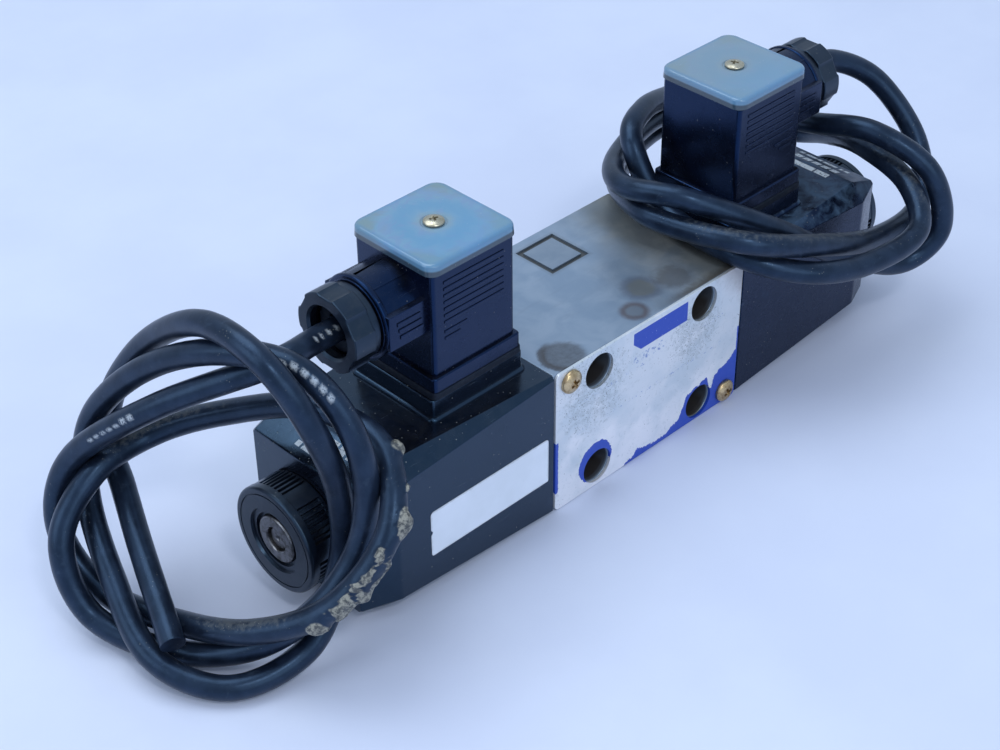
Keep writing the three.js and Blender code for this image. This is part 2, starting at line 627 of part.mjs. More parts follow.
function solenoid(side, letter) {
  const group = new THREE.Group();
  group.position.set(0, AXIS_Y, 0);
  const plug = new THREE.Group();
  plug.position.set(side * PLUG_X, 0, 0);
  group.add(plug);
  const put = (parent, name, geometry, material) => {
    const mirrored = closed(geometry).scale(side, 1, 1);
    parent.add(named(`${name}_${letter}`, mirrored, material));
  };

  put(group, 'coil_housing', coilHousing(), MATERIAL.coil);
  put(group, 'coil_bobbin', bobbin(), MATERIAL.bobbin);
  put(group, 'coil_winding', winding(), MATERIAL.copper);
  put(group, 'coil_seal', coilSeal(), MATERIAL.rubber);
  put(group, 'core_tube', coreTube(), MATERIAL.core);
  put(group, 'armature', armature(), MATERIAL.steel);
  put(group, 'push_pin', pushPin(), MATERIAL.core);
  put(group, 'override_pin', overridePin(), MATERIAL.steel);
  put(group, 'spring_seat', springSeat(), MATERIAL.core);
  put(group, 'centring_spring', centringSpring(), MATERIAL.steel);
  put(group, 'coil_nut', coilNut(), MATERIAL.black);
  put(group, 'nut_seal', nutSeal(), MATERIAL.rubber);

  for (const b of bladePlaces()) {
    put(plug, b.name, bladeBlock(b, PEDESTAL.z1 - BLADE.root, BLADE.z1), MATERIAL.brass);
  }
  put(plug, 'plug_gasket', gasket(), MATERIAL.rubber);
  put(plug, 'plug_housing', plugHousing(), MATERIAL.black);
  put(plug, 'plug_insert', plugInsert(), MATERIAL.insert);
  put(plug, 'plug_cap', plugCap(), MATERIAL.cap);
  put(plug, 'cap_seal', capSeal(), MATERIAL.rubber);
  put(plug, 'plug_screw', plugScrew(), MATERIAL.brass);
  put(plug, 'gland_nut', glandNut(), MATERIAL.black);
  put(plug, 'gland_grommet', glandGrommet(), MATERIAL.rubber);
  return group;
}

function coilLabel() {
  const front = AXIS_Y - COIL.halfY;
  const sheet = block(LABEL.x0, LABEL.x1, front - LABEL.thick, front, LABEL.z0, LABEL.z1);
  return named('coil_label', sheet, MATERIAL.sticker);
}

const valve = new THREE.Group();
valve.add(valveBody(), nameplate(), ...plateScrews(), ...portSeals(), spool(), coilLabel());
valve.add(solenoid(-1, 'a'), solenoid(1, 'b'));
valve.add(cable('cable_a', CABLE_A), cable('cable_b', CABLE_B));

export default valve;
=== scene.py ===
"""Looks of a double-solenoid hydraulic directional valve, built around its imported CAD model.

Every piece is drawn in millimetres and turned into metres when it is placed.
Pieces of a solenoid are drawn for the +X side, about the spool axis, and mirrored for the -X side.
"""

import json
import math

import bmesh
import bpy
import numpy as np
from mathutils import Matrix, Vector

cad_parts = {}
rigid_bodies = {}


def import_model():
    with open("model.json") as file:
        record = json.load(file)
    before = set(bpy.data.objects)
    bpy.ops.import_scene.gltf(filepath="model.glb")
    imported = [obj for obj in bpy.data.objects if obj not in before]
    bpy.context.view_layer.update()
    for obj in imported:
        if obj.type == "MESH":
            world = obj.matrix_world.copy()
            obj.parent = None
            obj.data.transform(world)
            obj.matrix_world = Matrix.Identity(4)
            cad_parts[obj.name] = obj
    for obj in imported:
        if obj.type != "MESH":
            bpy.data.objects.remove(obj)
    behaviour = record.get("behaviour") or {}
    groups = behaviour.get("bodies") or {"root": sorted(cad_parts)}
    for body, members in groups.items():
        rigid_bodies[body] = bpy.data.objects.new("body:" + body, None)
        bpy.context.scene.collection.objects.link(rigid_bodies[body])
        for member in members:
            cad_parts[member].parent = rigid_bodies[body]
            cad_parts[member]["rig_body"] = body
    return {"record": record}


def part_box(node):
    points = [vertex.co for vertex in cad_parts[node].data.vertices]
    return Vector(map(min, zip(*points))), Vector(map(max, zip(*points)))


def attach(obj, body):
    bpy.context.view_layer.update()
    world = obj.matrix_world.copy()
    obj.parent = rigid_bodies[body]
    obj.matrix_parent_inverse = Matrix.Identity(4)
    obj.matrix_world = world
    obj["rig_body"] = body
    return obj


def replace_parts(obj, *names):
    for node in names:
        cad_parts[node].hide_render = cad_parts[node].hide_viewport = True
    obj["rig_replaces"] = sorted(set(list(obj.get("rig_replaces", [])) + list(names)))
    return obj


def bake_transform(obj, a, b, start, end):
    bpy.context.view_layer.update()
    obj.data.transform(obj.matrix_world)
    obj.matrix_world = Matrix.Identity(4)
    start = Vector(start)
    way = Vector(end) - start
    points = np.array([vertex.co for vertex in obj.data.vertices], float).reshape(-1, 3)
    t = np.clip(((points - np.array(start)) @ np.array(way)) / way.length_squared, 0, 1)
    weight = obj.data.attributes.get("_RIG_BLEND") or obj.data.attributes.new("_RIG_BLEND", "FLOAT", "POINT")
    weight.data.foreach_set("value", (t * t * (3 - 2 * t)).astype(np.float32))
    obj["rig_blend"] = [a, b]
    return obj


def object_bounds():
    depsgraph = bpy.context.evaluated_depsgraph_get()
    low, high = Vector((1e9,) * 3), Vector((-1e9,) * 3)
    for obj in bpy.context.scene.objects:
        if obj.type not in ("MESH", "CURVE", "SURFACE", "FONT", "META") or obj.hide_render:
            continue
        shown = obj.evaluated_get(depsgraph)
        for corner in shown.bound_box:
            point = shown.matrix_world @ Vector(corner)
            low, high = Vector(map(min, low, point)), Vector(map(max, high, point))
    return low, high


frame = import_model()
cad_low, cad_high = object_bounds()

MM = 0.001
ROUND = 64
SMALL_ROUND = 48
HOLE_ROUND = 24
NUT_ROUND = 96
EDGE_STEPS = 4
SHARP = math.radians(32)

BODY_OF = {n: b for b, nodes in frame["record"]["behaviour"]["bodies"].items() for n in nodes}


def span(node):
    """A node's lowest and highest corner, in millimetres."""
    low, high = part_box(node)
    return low / MM, high / MM


BODY_LOW, BODY_HIGH = span("valve_body")
AXIS_Y = sum(c.y for c in span("spool")) / 2
GLAND_LOW, GLAND_HIGH = span("gland_nut_b")
CABLE_Z = (GLAND_LOW.z + GLAND_HIGH.z) / 2
CAP_LOW, CAP_HIGH = span("plug_cap_b")
PLUG_X = (CAP_LOW.x + CAP_HIGH.x) / 2

BOLTS = [(-20.25, 15.5), (-20.25, -15.5), (20.25, 16.25), (20.25, -16.25)]
BOLT_MIDDLE = (20.25, 15.9)
BOLT_BORE = 5.1
MARK = {"x": 3, "y": -10.5, "half": 7, "width": 1.5, "depth": 0.6}


# ---- shapes ---------------------------------------------------------------------------------


def linked(name, data):
    """A new object in the scene that holds the data."""
    obj = bpy.data.objects.new(name, data)
    bpy.context.scene.collection.objects.link(obj)
    return obj


def object_from(points, faces):
    """A closed mesh whose faces all look outwards."""
    mesh = bpy.data.meshes.new("shape")
    mesh.from_pydata([tuple(p) for p in points], [], faces)
    mesh.validate()
    bm = bmesh.new()
    bm.from_mesh(mesh)
    bmesh.ops.recalc_face_normals(bm, faces=bm.faces)
    if bm.calc_volume(signed=True) < 0:
        bmesh.ops.reverse_faces(bm, faces=bm.faces)
    bm.to_mesh(mesh)
    bm.free()
    return linked("shape", mesh)


def loft(rings):
    """A closed skin through rings of equal length, with a flat face on each end."""
    n = len(rings[0])
    points = [p for ring in rings for p in ring]
    faces = [tuple(range(n))[::-1]]
    for k in range(len(rings) - 1):
        for i in range(n):
            j = (i + 1) % n
            faces.append((k * n + i, k * n + j, (k + 1) * n + j, (k + 1) * n + i))
    faces.append(tuple((len(rings) - 1) * n + i for i in range(n)))
    return object_from(points, faces)


def filleted(corners, steps=EDGE_STEPS):
    """A 2-D outline from (a, b, radius) corners, each corner rounded to its radius."""
    out = []
    n = len(corners)
    for i, (a, b, r) in enumerate(corners):
        here = Vector((a, b))
        if r <= 0:
            out.append(here)
            continue
        before = (Vector(corners[i - 1][:2]) - here).normalized()
        after = (Vector(corners[(i + 1) % n][:2]) - here).normalized()
        half = before.angle(after, math.pi) / 2
        if half > math.pi / 2 - 0.02:
            out.append(here)
            continue
        cut = r / math.tan(half)
        centre = here + (before + after).normalized() * (r / math.sin(half))
        start = here + before * cut - centre
        end = here + after * cut - centre
        turn = start.angle_signed(end)
        for k in range(steps + 1):
            spin = Matrix.Rotation(-turn * k / steps, 2)
            out.append(centre + spin @ start)
    return out


def lathe(corners, axis="X", origin=(0, 0, 0), sides=ROUND, phase=0.0):
    """A turned solid from (distance along the axis, radius, fillet) corners.

    The outline is closed: it either starts and ends on the axis or is a ring's own section.
    """
    outline = [(p.x, max(p.y, 0.0)) for p in filleted(corners)]
    points = []
    index = []
    for t, r in outline:
        if r < 1e-6:
            index.append([len(points)] * sides)
            points.append((t, 0.0, 0.0))
            continue
        index.append(list(range(len(points), len(points) + sides)))
        for i in range(sides):
            angle = phase + 2 * math.pi * i / sides
            points.append((t, r * math.cos(angle), r * math.sin(angle)))
    faces = []
    for k in range(len(outline)):
        one, two = index[k], index[(k + 1) % len(outline)]
        if one[0] == one[-1] and two[0] == two[-1]:
            continue
        for i in range(sides):
            j = (i + 1) % sides
            face = []
            for v in (one[i], one[j], two[j], two[i]):
                if v not in face:
                    face.append(v)
            faces.append(tuple(face))
    turned = {"X": lambda p: p, "Y": lambda p: (p[1], p[0], p[2]), "Z": lambda p: (p[1], p[2], p[0])}[axis]
    return object_from([Vector(turned(p)) + Vector(origin) for p in points], faces)


def ring_section(t0, t1, r_in, r_out, fillet):
    """The outline of a turned ring."""
    return [(t0, r_in, fillet), (t0, r_out, fillet), (t1, r_out, fillet), (t1, r_in, fillet)]


def bar(t0, t1, r, fillet=0.0):
    """The outline of a turned bar."""
    return [(t0, 0, 0), (t0, r, fillet), (t1, r, fillet), (t1, 0, 0)]


def rounded_rectangle(half_a, half_b, corner, steps=6):
    signs = ((1, -1), (1, 1), (-1, 1), (-1, -1))
    return filleted([(half_a * a, half_b * b, corner) for a, b in signs], steps)


def slab(half_x, half_y, corner, z0, z1, edge0=0.3, edge1=0.3, centre=(0, 0)):
    """An upright block with rounded corners and rounded rims."""
    rings = []

    def ring(inset, z):
        outline = rounded_rectangle(half_x - inset, half_y - inset, max(corner - inset, 0.05))
        rings.append([Vector((p.x + centre[0], p.y + centre[1], z)) for p in outline])

    for k in range(EDGE_STEPS + 1):
        a = math.pi / 2 * k / EDGE_STEPS
        ring(edge0 * (1 - math.sin(a)), z0 + edge0 * (1 - math.cos(a)))
    for k in range(EDGE_STEPS + 1):
        a = math.pi / 2 * k / EDGE_STEPS
        ring(edge1 * (1 - math.cos(a)), z1 - edge1 * (1 - math.sin(a)))
    return loft(rings)


def stretch(outline, x0, x1, edge):
    """A flat outline of (y, z) points drawn out along X, its two rims rounded by edge."""
    n = len(outline)
    points = [Vector(p) for p in outline]
    area = sum(points[i - 1].cross(points[i]) for i in range(n))
    side = 1 if area > 0 else -1
    inward = []
    for i in range(n):
        tangent = (points[(i + 1) % n] - points[i - 1]).normalized()
        inward.append(Vector((-tangent.y, tangent.x)) * side)
    rings = []
    for k in range(2 * EDGE_STEPS + 2):
        first = k <= EDGE_STEPS
        a = math.pi / 2 * (k if first else k - EDGE_STEPS - 1) / EDGE_STEPS
        inset = edge * (1 - (math.sin(a) if first else math.cos(a)))
        x = x0 + edge * (1 - math.cos(a)) if first else x1 - edge * (1 - math.sin(a))
        outline_here = [points[i] + inward[i] * inset for i in range(n)]
        rings.append([Vector((x, p.x, p.y)) for p in outline_here])
    return loft(rings)


def soft_box(low, high, edge, steps=2):
    """A block between two corners with all its edges rounded."""
    low, high = Vector(low), Vector(high)
    bm = bmesh.new()
    bmesh.ops.create_cube(bm, size=1)
    for v in bm.verts:
        v.co = Vector(low[i] + (high[i] - low[i]) * (v.co[i] + 0.5) for i in range(3))
    bmesh.ops.bevel(bm, geom=bm.edges[:], offset=edge, segments=steps, profile=0.5, affect="EDGES")
    points = [v.co.copy() for v in bm.verts]
    faces = [tuple(v.index for v in f.verts) for f in bm.faces]
    bm.free()
    return object_from(points, faces)


def carve(target, cutters, operation="DIFFERENCE"):
    """Cuts the cutters from the target, or joins them to it, and takes them off the scene."""
    for cutter in cutters:
        step = target.modifiers.new("carve", "BOOLEAN")
        step.object = cutter
        step.operation = operation
        step.solver = "EXACT"
    graph = bpy.context.evaluated_depsgraph_get()
    mesh = bpy.data.meshes.new_from_object(target.evaluated_get(graph), depsgraph=graph)
    target.modifiers.clear()
    target.data = mesh
    for cutter in cutters:
        bpy.data.objects.remove(cutter)
    return target


def merge(objects):
    """Several closed shells as one mesh."""
    bm = bmesh.new()
    for obj in objects:
        bm.from_mesh(obj.data)
    first = objects[0]
    bm.to_mesh(first.data)
    bm.free()
    for obj in objects[1:]:
        bpy.data.objects.remove(obj)
    return first


def moved(obj, x=0.0, y=0.0, z=0.0):
    obj.data.transform(Matrix.Translation((x, y, z)))
    return obj


def show(obj, node, material, side=0):
    """Puts a finished piece in place of its CAD node. A side of 1 or -1 means solenoid coordinates."""
    mesh = obj.data
    if side == -1:
        mesh.transform(Matrix.Scale(-1, 4, (1, 0, 0)))
        mesh.flip_normals()
    if side:
        mesh.transform(Matrix.Translation((0, AXIS_Y, 0)))
    mesh.transform(Matrix.Scale(MM, 4))
    bm = bmesh.new()
    bm.from_mesh(mesh)
    bmesh.ops.remove_doubles(bm, verts=bm.verts, dist=2e-6)
    bm.to_mesh(mesh)
    bm.free()
    mesh.shade_smooth()
    mesh.set_sharp_from_angle(angle=SHARP)
    even = obj.modifiers.new("even normals", "WEIGHTED_NORMAL")
    even.keep_sharp = True
    obj.name = f"{node}_finished"
    mesh.name = obj.name
    mesh.materials.clear()
    mesh.materials.append(material)
    if node in BODY_OF:
        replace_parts(obj, node)
    return obj


# ---- material kit ---------------------------------------------------------------------------


class Value:
    """A number or vector in a node tree that can be added, scaled and compared."""

    def __init__(self, graph, socket):
        self.graph = graph
        self.socket = socket

    def _with(self, operation, *others):
        return self.graph.math(operation, self, *others)

    def __add__(self, other):
        return self._with("ADD", other)

    def __sub__(self, other):
        return self._with("SUBTRACT", other)

    def __rsub__(self, other):
        return self.graph.math("SUBTRACT", other, self)

    def __mul__(self, other):
        return self._with("MULTIPLY", other)

    def __truediv__(self, other):
        return self._with("DIVIDE", other)

    def abs(self):
        return self._with("ABSOLUTE")

    def min(self, other):
        return self._with("MINIMUM", other)

    def max(self, other):
        return self._with("MAXIMUM", other)

    def rise(self, low, high, top=1.0):
        """0 below low and top above high, or the other way round when low is above high."""
        n = self.graph.node("ShaderNodeMapRange", interpolation_type="SMOOTHSTEP")
        swap = low > high
        self.graph.feed(n.inputs["Value"], self)
        n.inputs["From Min"].default_value = high if swap else low
        n.inputs["From Max"].default_value = low if swap else high
        n.inputs["To Min"].default_value = top if swap else 0.0
        n.inputs["To Max"].default_value = 0.0 if swap else top
        return Value(self.graph, n.outputs["Result"])


class Finish:
    """One procedural material. Positions in it are millimetres in the row frame."""

    def __init__(self, name):
        self.material = bpy.data.materials.new(name)
        self.material.use_nodes = True
        self.tree = self.material.node_tree
        self.tree.nodes.clear()
        coords = self.node("ShaderNodeTexCoord")
        scaled = self.node("ShaderNodeVectorMath", operation="SCALE")
        self.tree.links.new(coords.outputs["Object"], scaled.inputs[0])
        scaled.inputs["Scale"].default_value = 1 / MM
        self.place = Value(self, scaled.outputs[0])
        self.x, self.y, self.z = self.split(self.place)

    def node(self, kind, **properties):
        n = self.tree.nodes.new(kind)
        for key, value in properties.items():
            setattr(n, key, value)
        return n

    def feed(self, socket, value):
        if isinstance(value, Value):
            self.tree.links.new(value.socket, socket)
        elif value is not None:
            if isinstance(value, (tuple, list)) and len(value) == 3 and len(socket.default_value) == 4:
                value = (*value, 1.0)
            socket.default_value = value

    def math(self, operation, *values):
        n = self.node("ShaderNodeMath", operation=operation)
        for socket, value in zip(n.inputs, values):
            self.feed(socket, value)
        return Value(self, n.outputs[0])

    def split(self, vector):
        n = self.node("ShaderNodeSeparateXYZ")
        self.feed(n.inputs[0], vector)
        return [Value(self, s) for s in n.outputs]

    def vector(self, x, y, z):
        n = self.node("ShaderNodeCombineXYZ")
        for socket, value in zip(n.inputs, (x, y, z)):
            self.feed(socket, value)
        return Value(self, n.outputs[0])

    def noise(self, size, detail=3.0, rough=0.55, twist=0.0, at=None):
        n = self.node("ShaderNodeTexNoise")
        self.feed(n.inputs["Vector"], at or self.place)
        n.inputs["Scale"].default_value = 1 / size
        n.inputs["Detail"].default_value = detail
        n.inputs["Roughness"].default_value = rough
        n.inputs["Distortion"].default_value = twist
        return Value(self, n.outputs["Fac"])

    def cells(self, size):
        n = self.node("ShaderNodeTexVoronoi", feature="F1")
        self.feed(n.inputs["Vector"], self.place)
        n.inputs["Scale"].default_value = 1 / size
        return Value(self, n.outputs["Distance"])

    def attribute(self, name):
        n = self.node("ShaderNodeAttribute", attribute_name=name)
        return Value(self, n.outputs["Fac"])

    def facing(self):
        """The surface's normal as three values."""
        n = self.node("ShaderNodeNewGeometry")
        return self.split(Value(self, n.outputs["Normal"]))

    def crevice(self, reach):
        """1 deep in a corner and 0 on an open face."""
        n = self.node("ShaderNodeAmbientOcclusion", samples=4)
        n.inputs["Distance"].default_value = reach * MM
        return 1.0 - Value(self, n.outputs["AO"])

    def distance(self, x, y, z):
        """How far a point of the surface is from a place."""
        n = self.node("ShaderNodeVectorMath", operation="DISTANCE")
        self.feed(n.inputs[0], self.place)
        n.inputs[1].default_value = (x, y, z)
        return Value(self, n.outputs["Value"])

    def blend(self, amount, one, two):
        n = self.node("ShaderNodeMix", data_type="RGBA")
        self.feed(n.inputs["Factor"], amount)
        self.feed(n.inputs[6], one)
        self.feed(n.inputs[7], two)
        return Value(self, n.outputs[2])

    def bump(self, height, depth, normal=None):
        """Turns a height between 0 and 1 into a relief of depth millimetres."""
        n = self.node("ShaderNodeBump")
        n.inputs["Strength"].default_value = 1.0
        n.inputs["Distance"].default_value = depth * MM
        self.feed(n.inputs["Height"], height)
        if normal:
            self.feed(n.inputs["Normal"], normal)
        return Value(self, n.outputs["Normal"])

    def done(self, **inputs):
        surface = self.node("ShaderNodeBsdfPrincipled")
        for name, value in inputs.items():
            self.feed(surface.inputs[name.replace("_", " ")], value)
        output = self.node("ShaderNodeOutputMaterial")
        self.tree.links.new(surface.outputs[0], output.inputs["Surface"])
        return self.material


# ---- materials ------------------------------------------------------------------------------


# Marks on the body's top: place along the valve, distance in from the front, raggedness,
# outer and inner radius, strength and colour.
STAINS = [
    (-1.5, 4.6, 0.25, 5.0, 2.8, 0.7, (0.10, 0.06, 0.05)),
    (-1.5, 4.6, 0.25, 3.0, 1.6, 0.8, (0.2, 0.25, 0.31)),
    (7.5, 10.5, 0.5, 6.8, 4.2, 0.5, (0.10, 0.11, 0.15)),
    (7.5, 10.5, 0.5, 4.6, 2.6, 0.4, (0.2, 0.19, 0.12)),
    (17.5, 8.0, 0.9, 7.0, 3.2, 0.5, (0.07, 0.058, 0.046)),
    (35, 22, 1.6, 14, 3, 0.5, (0.05, 0.052, 0.055)),
]


def in_bolt_bores(f):
    """1 inside the four bolt holes, 0 at their mouths and outside them.

    The two pairs of bolts stand at slightly different heights. One middle place serves for both.
    """
    side_x = f.x.abs() - BOLT_MIDDLE[0]
    side_z = f.z.abs() - BOLT_MIDDLE[1]
    from_bolt = f.math("SQRT", side_x * side_x + side_z * side_z)
    past_front = (f.y - BODY_LOW.y).rise(0.1, 1.2)
    short_of_back = (f.y * -1.0).rise(0.1, 0.6)
    return from_bolt.rise(5.8, 5.6) * past_front * short_of_back


def body_steel():
    """Milled steel: clean and blue on the left, browned on the right, with stains along its front."""
    f = Finish("body_steel")
    grain = f.noise(0.5, 4, 0.6, at=f.vector(f.x * 0.03, f.y * 0.6, f.z * 0.6))
    cloud = f.noise(10, 4, 0.55, 0.5)
    drift = (f.noise(14, 3, 0.5) - 0.5) * 26
    clean = f.blend(cloud.rise(0.3, 0.7), (0.24, 0.32, 0.425), (0.31, 0.385, 0.485))
    aged = f.blend(cloud.rise(0.3, 0.7), (0.125, 0.135, 0.135), (0.20, 0.20, 0.18))
    top_face = f.facing()[2].rise(0.5, 0.9)
    age = (f.x + drift - f.y * 0.12).rise(8, 32) * top_face
    colour = f.blend(age * 0.9, clean, aged)
    streak = f.noise(1.0, 4, 0.6, 0.3, at=f.vector(f.x * 0.05, f.y * 0.35, f.z * 0.35)).rise(0.55, 0.75)
    colour = f.blend(streak * 0.1, colour, (0.12, 0.14, 0.16))
    wobble = (f.noise(3.2, 5, 0.65, 0.8) - 0.5) * 5
    front = BODY_LOW.y
    top = BODY_HIGH.z
    edge = (f.y - front + wobble * 0.6).rise(3.4, 0.4) * f.x.rise(0, 16) * top_face
    colour = f.blend(edge * 0.75, colour, (0.06, 0.05, 0.038))
    from_patch = f.distance(-28.5, front + 4.2, top) + wobble * 0.45
    patch = from_patch.rise(7.0, 4.6)
    patch_rim = (from_patch - 5.7).abs().rise(1.5, 0.4)
    mottle = f.noise(1.3, 5, 0.7).rise(0.35, 0.65)
    colour = f.blend(patch * (mottle * 0.12 + 0.68), colour, (0.055, 0.06, 0.072))
    colour = f.blend(patch_rim * f.x.rise(-26, -31) * 0.7, colour, (0.04, 0.03, 0.026))
    for x, inward, ragged, outer, inner, strength, tint in STAINS:
        reach = f.distance(x, front + inward, top) + wobble * ragged
        colour = f.blend(reach.rise(outer, inner) * strength, colour, tint)
    # Painted shade: horizontal faces sunk below the top face, such as the square groove's floor, are darkened
    # and made less metallic.
    sunk_shade = f.z.rise(top - 0.1, top - 0.45) * f.facing()[2].abs().rise(0.2, 0.6) * (f.y - front).rise(1.5, 2.0)
    colour = f.blend(sunk_shade, colour, (0.05, 0.055, 0.06))
    from_mark = (f.x - MARK["x"]).abs().max((f.y - MARK["y"]).abs())
    halo = (from_mark + wobble * 0.25).rise(MARK["half"] + 1.4, MARK["half"]) * top_face
    colour = f.blend(halo * 0.25, colour, (0.12, 0.13, 0.13))
    # Painted shade in corners: an occlusion mask darkens them towards near black, standing for dirt as well.
    corner_shade_and_dirt = f.crevice(2.5).rise(0.25, 0.9)
    colour = f.blend(corner_shade_and_dirt * 0.7, colour, (0.03, 0.028, 0.026))
    # Painted shade: the inside of the four bolt bores is darkened to near black. The bores are also made
    # rougher and less metallic.
    bore_shade = in_bolt_bores(f)
    colour = f.blend(bore_shade * 0.88, colour, (0.024, 0.02, 0.02))
    rough = grain.rise(0.3, 0.7) * 0.05 + cloud * 0.1 + patch * 0.15 + edge * 0.15 + bore_shade * 0.2 + 0.27
    relief = f.bump(f.noise(0.35, 2), 0.006, f.bump(grain, 0.0015))
    metal = 0.55 - patch * 0.35 - sunk_shade * 0.35 - age * 0.4 - bore_shade * 0.5
    return f.done(Base_Color=colour, Metallic=metal.max(0.0), Roughness=rough, Normal=relief)


PRINT_BLUE = (0.018, 0.062, 0.42)
# The upper edge of the blue print that is left along the plate, as (x, z) places.
PRINT_LINE = [
    (-36, -23), (-11, -22.6), (-9, -21.2), (-6.5, -20.6), (-4, -18.6), (-1, -19.8), (3, -20.3),
    (7, -20.2), (12, -18.2), (14.2, -14), (15, -11.6), (19, -10.6), (23.4, -9.6), (24.6, -13.6),
    (25.6, -14.2), (26.6, -10.8), (29.5, -9.6), (33, -8), (35, -6.6), (36, -5.5),
]


def print_line(f):
    """The height of the worn print's upper edge at each place along the plate."""
    n = f.node("ShaderNodeFloatCurve")
    curve = n.mapping.curves[0]
    reach = 36
    fall = 24
    places = [((x + reach) / (2 * reach), (z + fall) / fall) for x, z in PRINT_LINE]
    curve.points[0].location = places[0]
    for place in places[1:-1]:
        curve.points.new(*place)
    curve.points[-1].location = places[-1]
    for point in curve.points:
        point.handle_type = "VECTOR"
    n.mapping.update()
    f.feed(n.inputs["Value"], (f.x + reach) / (2 * reach))
    return Value(f, n.outputs[0]) * fall - fall


def worn_plate():
    """Silver plate whose blue print is left along its lower edge, round a hole and in one plain band."""
    f = Finish("worn_plate")
    x, z = f.x, f.z
    front = BODY_LOW.y
    chips = (f.noise(1.5, 6, 0.75, 0.5) - 0.5) * 3.2
    tears = (f.noise(3.5, 4, 0.65, 1.0) - 0.5) * 4.0
    lower = (z * -1.0 + print_line(f) + chips + tears * 0.35).rise(-0.05, 0.1)
    left = (x * -1.0 + chips * 0.35 + tears * 0.1).rise(35.0, 35.15) * (z + 7.5 + tears).abs().rise(8.2, 8.0)
    right = (x + chips * 0.3).rise(35.2, 35.35) * z.rise(1.6, 1.2)
    ring = (f.distance(-21.0, front, -13.6) + chips * 0.5 + tears * 0.3).rise(6.35, 6.2)
    ring = ring * (z + x * -0.25 + 9.4).rise(-4.2, -3.4)
    in_band = (x - 3.0).abs().rise(10.6, 10.45) * (z - 17.3).abs().rise(3.05, 2.95)
    step = (x + 9.5 + (z - 17) * 1.1).rise(1.8, 2.0)
    worn = (f.noise(1.1, 6, 0.75, 0.3, at=f.vector(x * 1.4, 0.0, z * 0.6)) + 0.06).rise(0.4, 0.42)
    band = in_band * step * worn
    print_left = lower.max(left).max(right).max(ring).max(band)
    rows = f.math("PINGPONG", z + 9.5, 4.6).rise(0.5, 0.4)
    ghost = rows * f.noise(0.9, 5, 0.75, at=f.vector(x * 0.6, 0.0, z)).rise(0.58, 0.61)
    ghost = ghost * x.abs().rise(31, 29) * (z - 4).abs().rise(13, 12)
    flakes = f.noise(0.8, 4, 0.7).rise(0.54, 0.57)
    under = (x + 1).abs().rise(6.5, 5.5) * (z - 11.6).abs().rise(1.5, 1.2) * flakes
    sheen = f.blend(f.noise(16, 3, 0.5, 0.5).rise(0.35, 0.65), (0.60, 0.66, 0.72), (0.74, 0.76, 0.8))
    # Painted sheen: the plate is lightened in patches, more strongly towards its bottom.
    low_sheen = (f.noise(9, 3) - z * 0.02).rise(0.5, 0.9)
    sheen = f.blend(low_sheen * 0.7, sheen, (0.92, 0.90, 0.93))
    near_hole_a = f.distance(-22, front, 10).rise(17, 5)
    near_hole_b = f.distance(17, front, 9).rise(13, 5)
    spoiled = near_hole_a.max(near_hole_b)
    pits = f.cells(0.62).rise(0.3, 0.16) * (f.noise(2.2, 5, 0.7) + spoiled * 0.24).rise(0.56, 0.68)
    bruise = (f.noise(1.6, 5, 0.7, 0.5) + spoiled * 0.16).rise(0.55, 0.72)
    colour = f.blend(bruise * 0.4, sheen, (0.37, 0.42, 0.45))
    colour = f.blend(pits * 0.8, colour, (0.13, 0.15, 0.16))
    scuffs = f.noise(0.9, 5, 0.7, at=f.vector(x * 0.5 + z * 0.3, 0.0, z * 0.9)).rise(0.58, 0.72)
    colour = f.blend(scuffs * 0.3, colour, (0.4, 0.44, 0.48))
    colour = f.blend(ghost.max(under) * 0.75, colour, (0.12, 0.22, 0.5))
    corner = (x + z * 0.9 + tears * 1.6).rise(42, 52)
    colour = f.blend(corner * 0.6, colour, (0.24, 0.2, 0.19))
    colour = f.blend(print_left, colour, PRINT_BLUE)
    rough = print_left * 0.1 + f.noise(1.2, 4) * 0.22 + pits * 0.2 + 0.24
    relief = f.bump(print_left, 0.03, f.bump(f.noise(0.5, 3), 0.01, f.bump(1.0 - pits, 0.03)))
    return f.done(Base_Color=colour, Metallic=(1.0 - print_left) * 0.35, Roughness=rough, Normal=relief)


def moulded(name, base, dust, dust_and_sheen_amount, rough, grain=0.02, wear=1.0, gloss=0.8, sheen=(0.4, 0.66, 1.0)):
    """Dark glossy moulding: fine grain, finger marks, scratches, dust on top faces and in corners; a blue
    dust colour also paints a sheen on the top faces.
    """
    f = Finish(name)
    up = f.facing()[2]
    brighter = tuple(c * 1.7 + 0.001 for c in base)
    tone = f.blend(f.noise(9, 4, 0.6, 0.5).rise(0.35, 0.65), base, brighter)
    # Where the dust colour is blue, this settled dust also paints a sheen that lightens the top faces.
    top_dust_and_sheen = (f.noise(5, 5, 0.65, 0.5) + up * 0.22).rise(0.56, 0.9) * up.rise(-0.3, 0.5) * dust_and_sheen_amount
    packed = f.crevice(1.6).rise(0.3, 0.95) * f.noise(1.7, 4, 0.6).rise(0.45, 0.62) * dust_and_sheen_amount
    flecks = f.cells(1.5).rise(0.14, 0.08) * (f.noise(6, 3) + up * 0.05).rise(0.54, 0.62)
    film = top_dust_and_sheen.max(packed)
    colour = f.blend(film, tone, dust)
    colour = f.blend(flecks * 0.75 * wear, colour, (0.2, 0.2, 0.18))
    smear = f.noise(4, 5, 0.7, 1.0).rise(0.3, 0.75)
    scratch = f.noise(0.8, 4, 0.7, at=f.vector(f.x * 0.12, f.y * 0.9, f.z * 0.9)).rise(0.62, 0.72)
    colour = f.blend(scratch * 0.25 * wear, colour, (0.06, 0.065, 0.07))
    roughness = smear * 0.12 * wear + film * 0.4 + flecks * 0.3 + scratch * 0.1 + rough
    relief = f.bump(f.noise(0.22, 2), grain * 0.35, f.bump(f.noise(2.4, 3), grain))
    return f.done(
        Base_Color=colour, Roughness=roughness, Normal=relief, Specular_IOR_Level=gloss, Specular_Tint=sheen,
    )


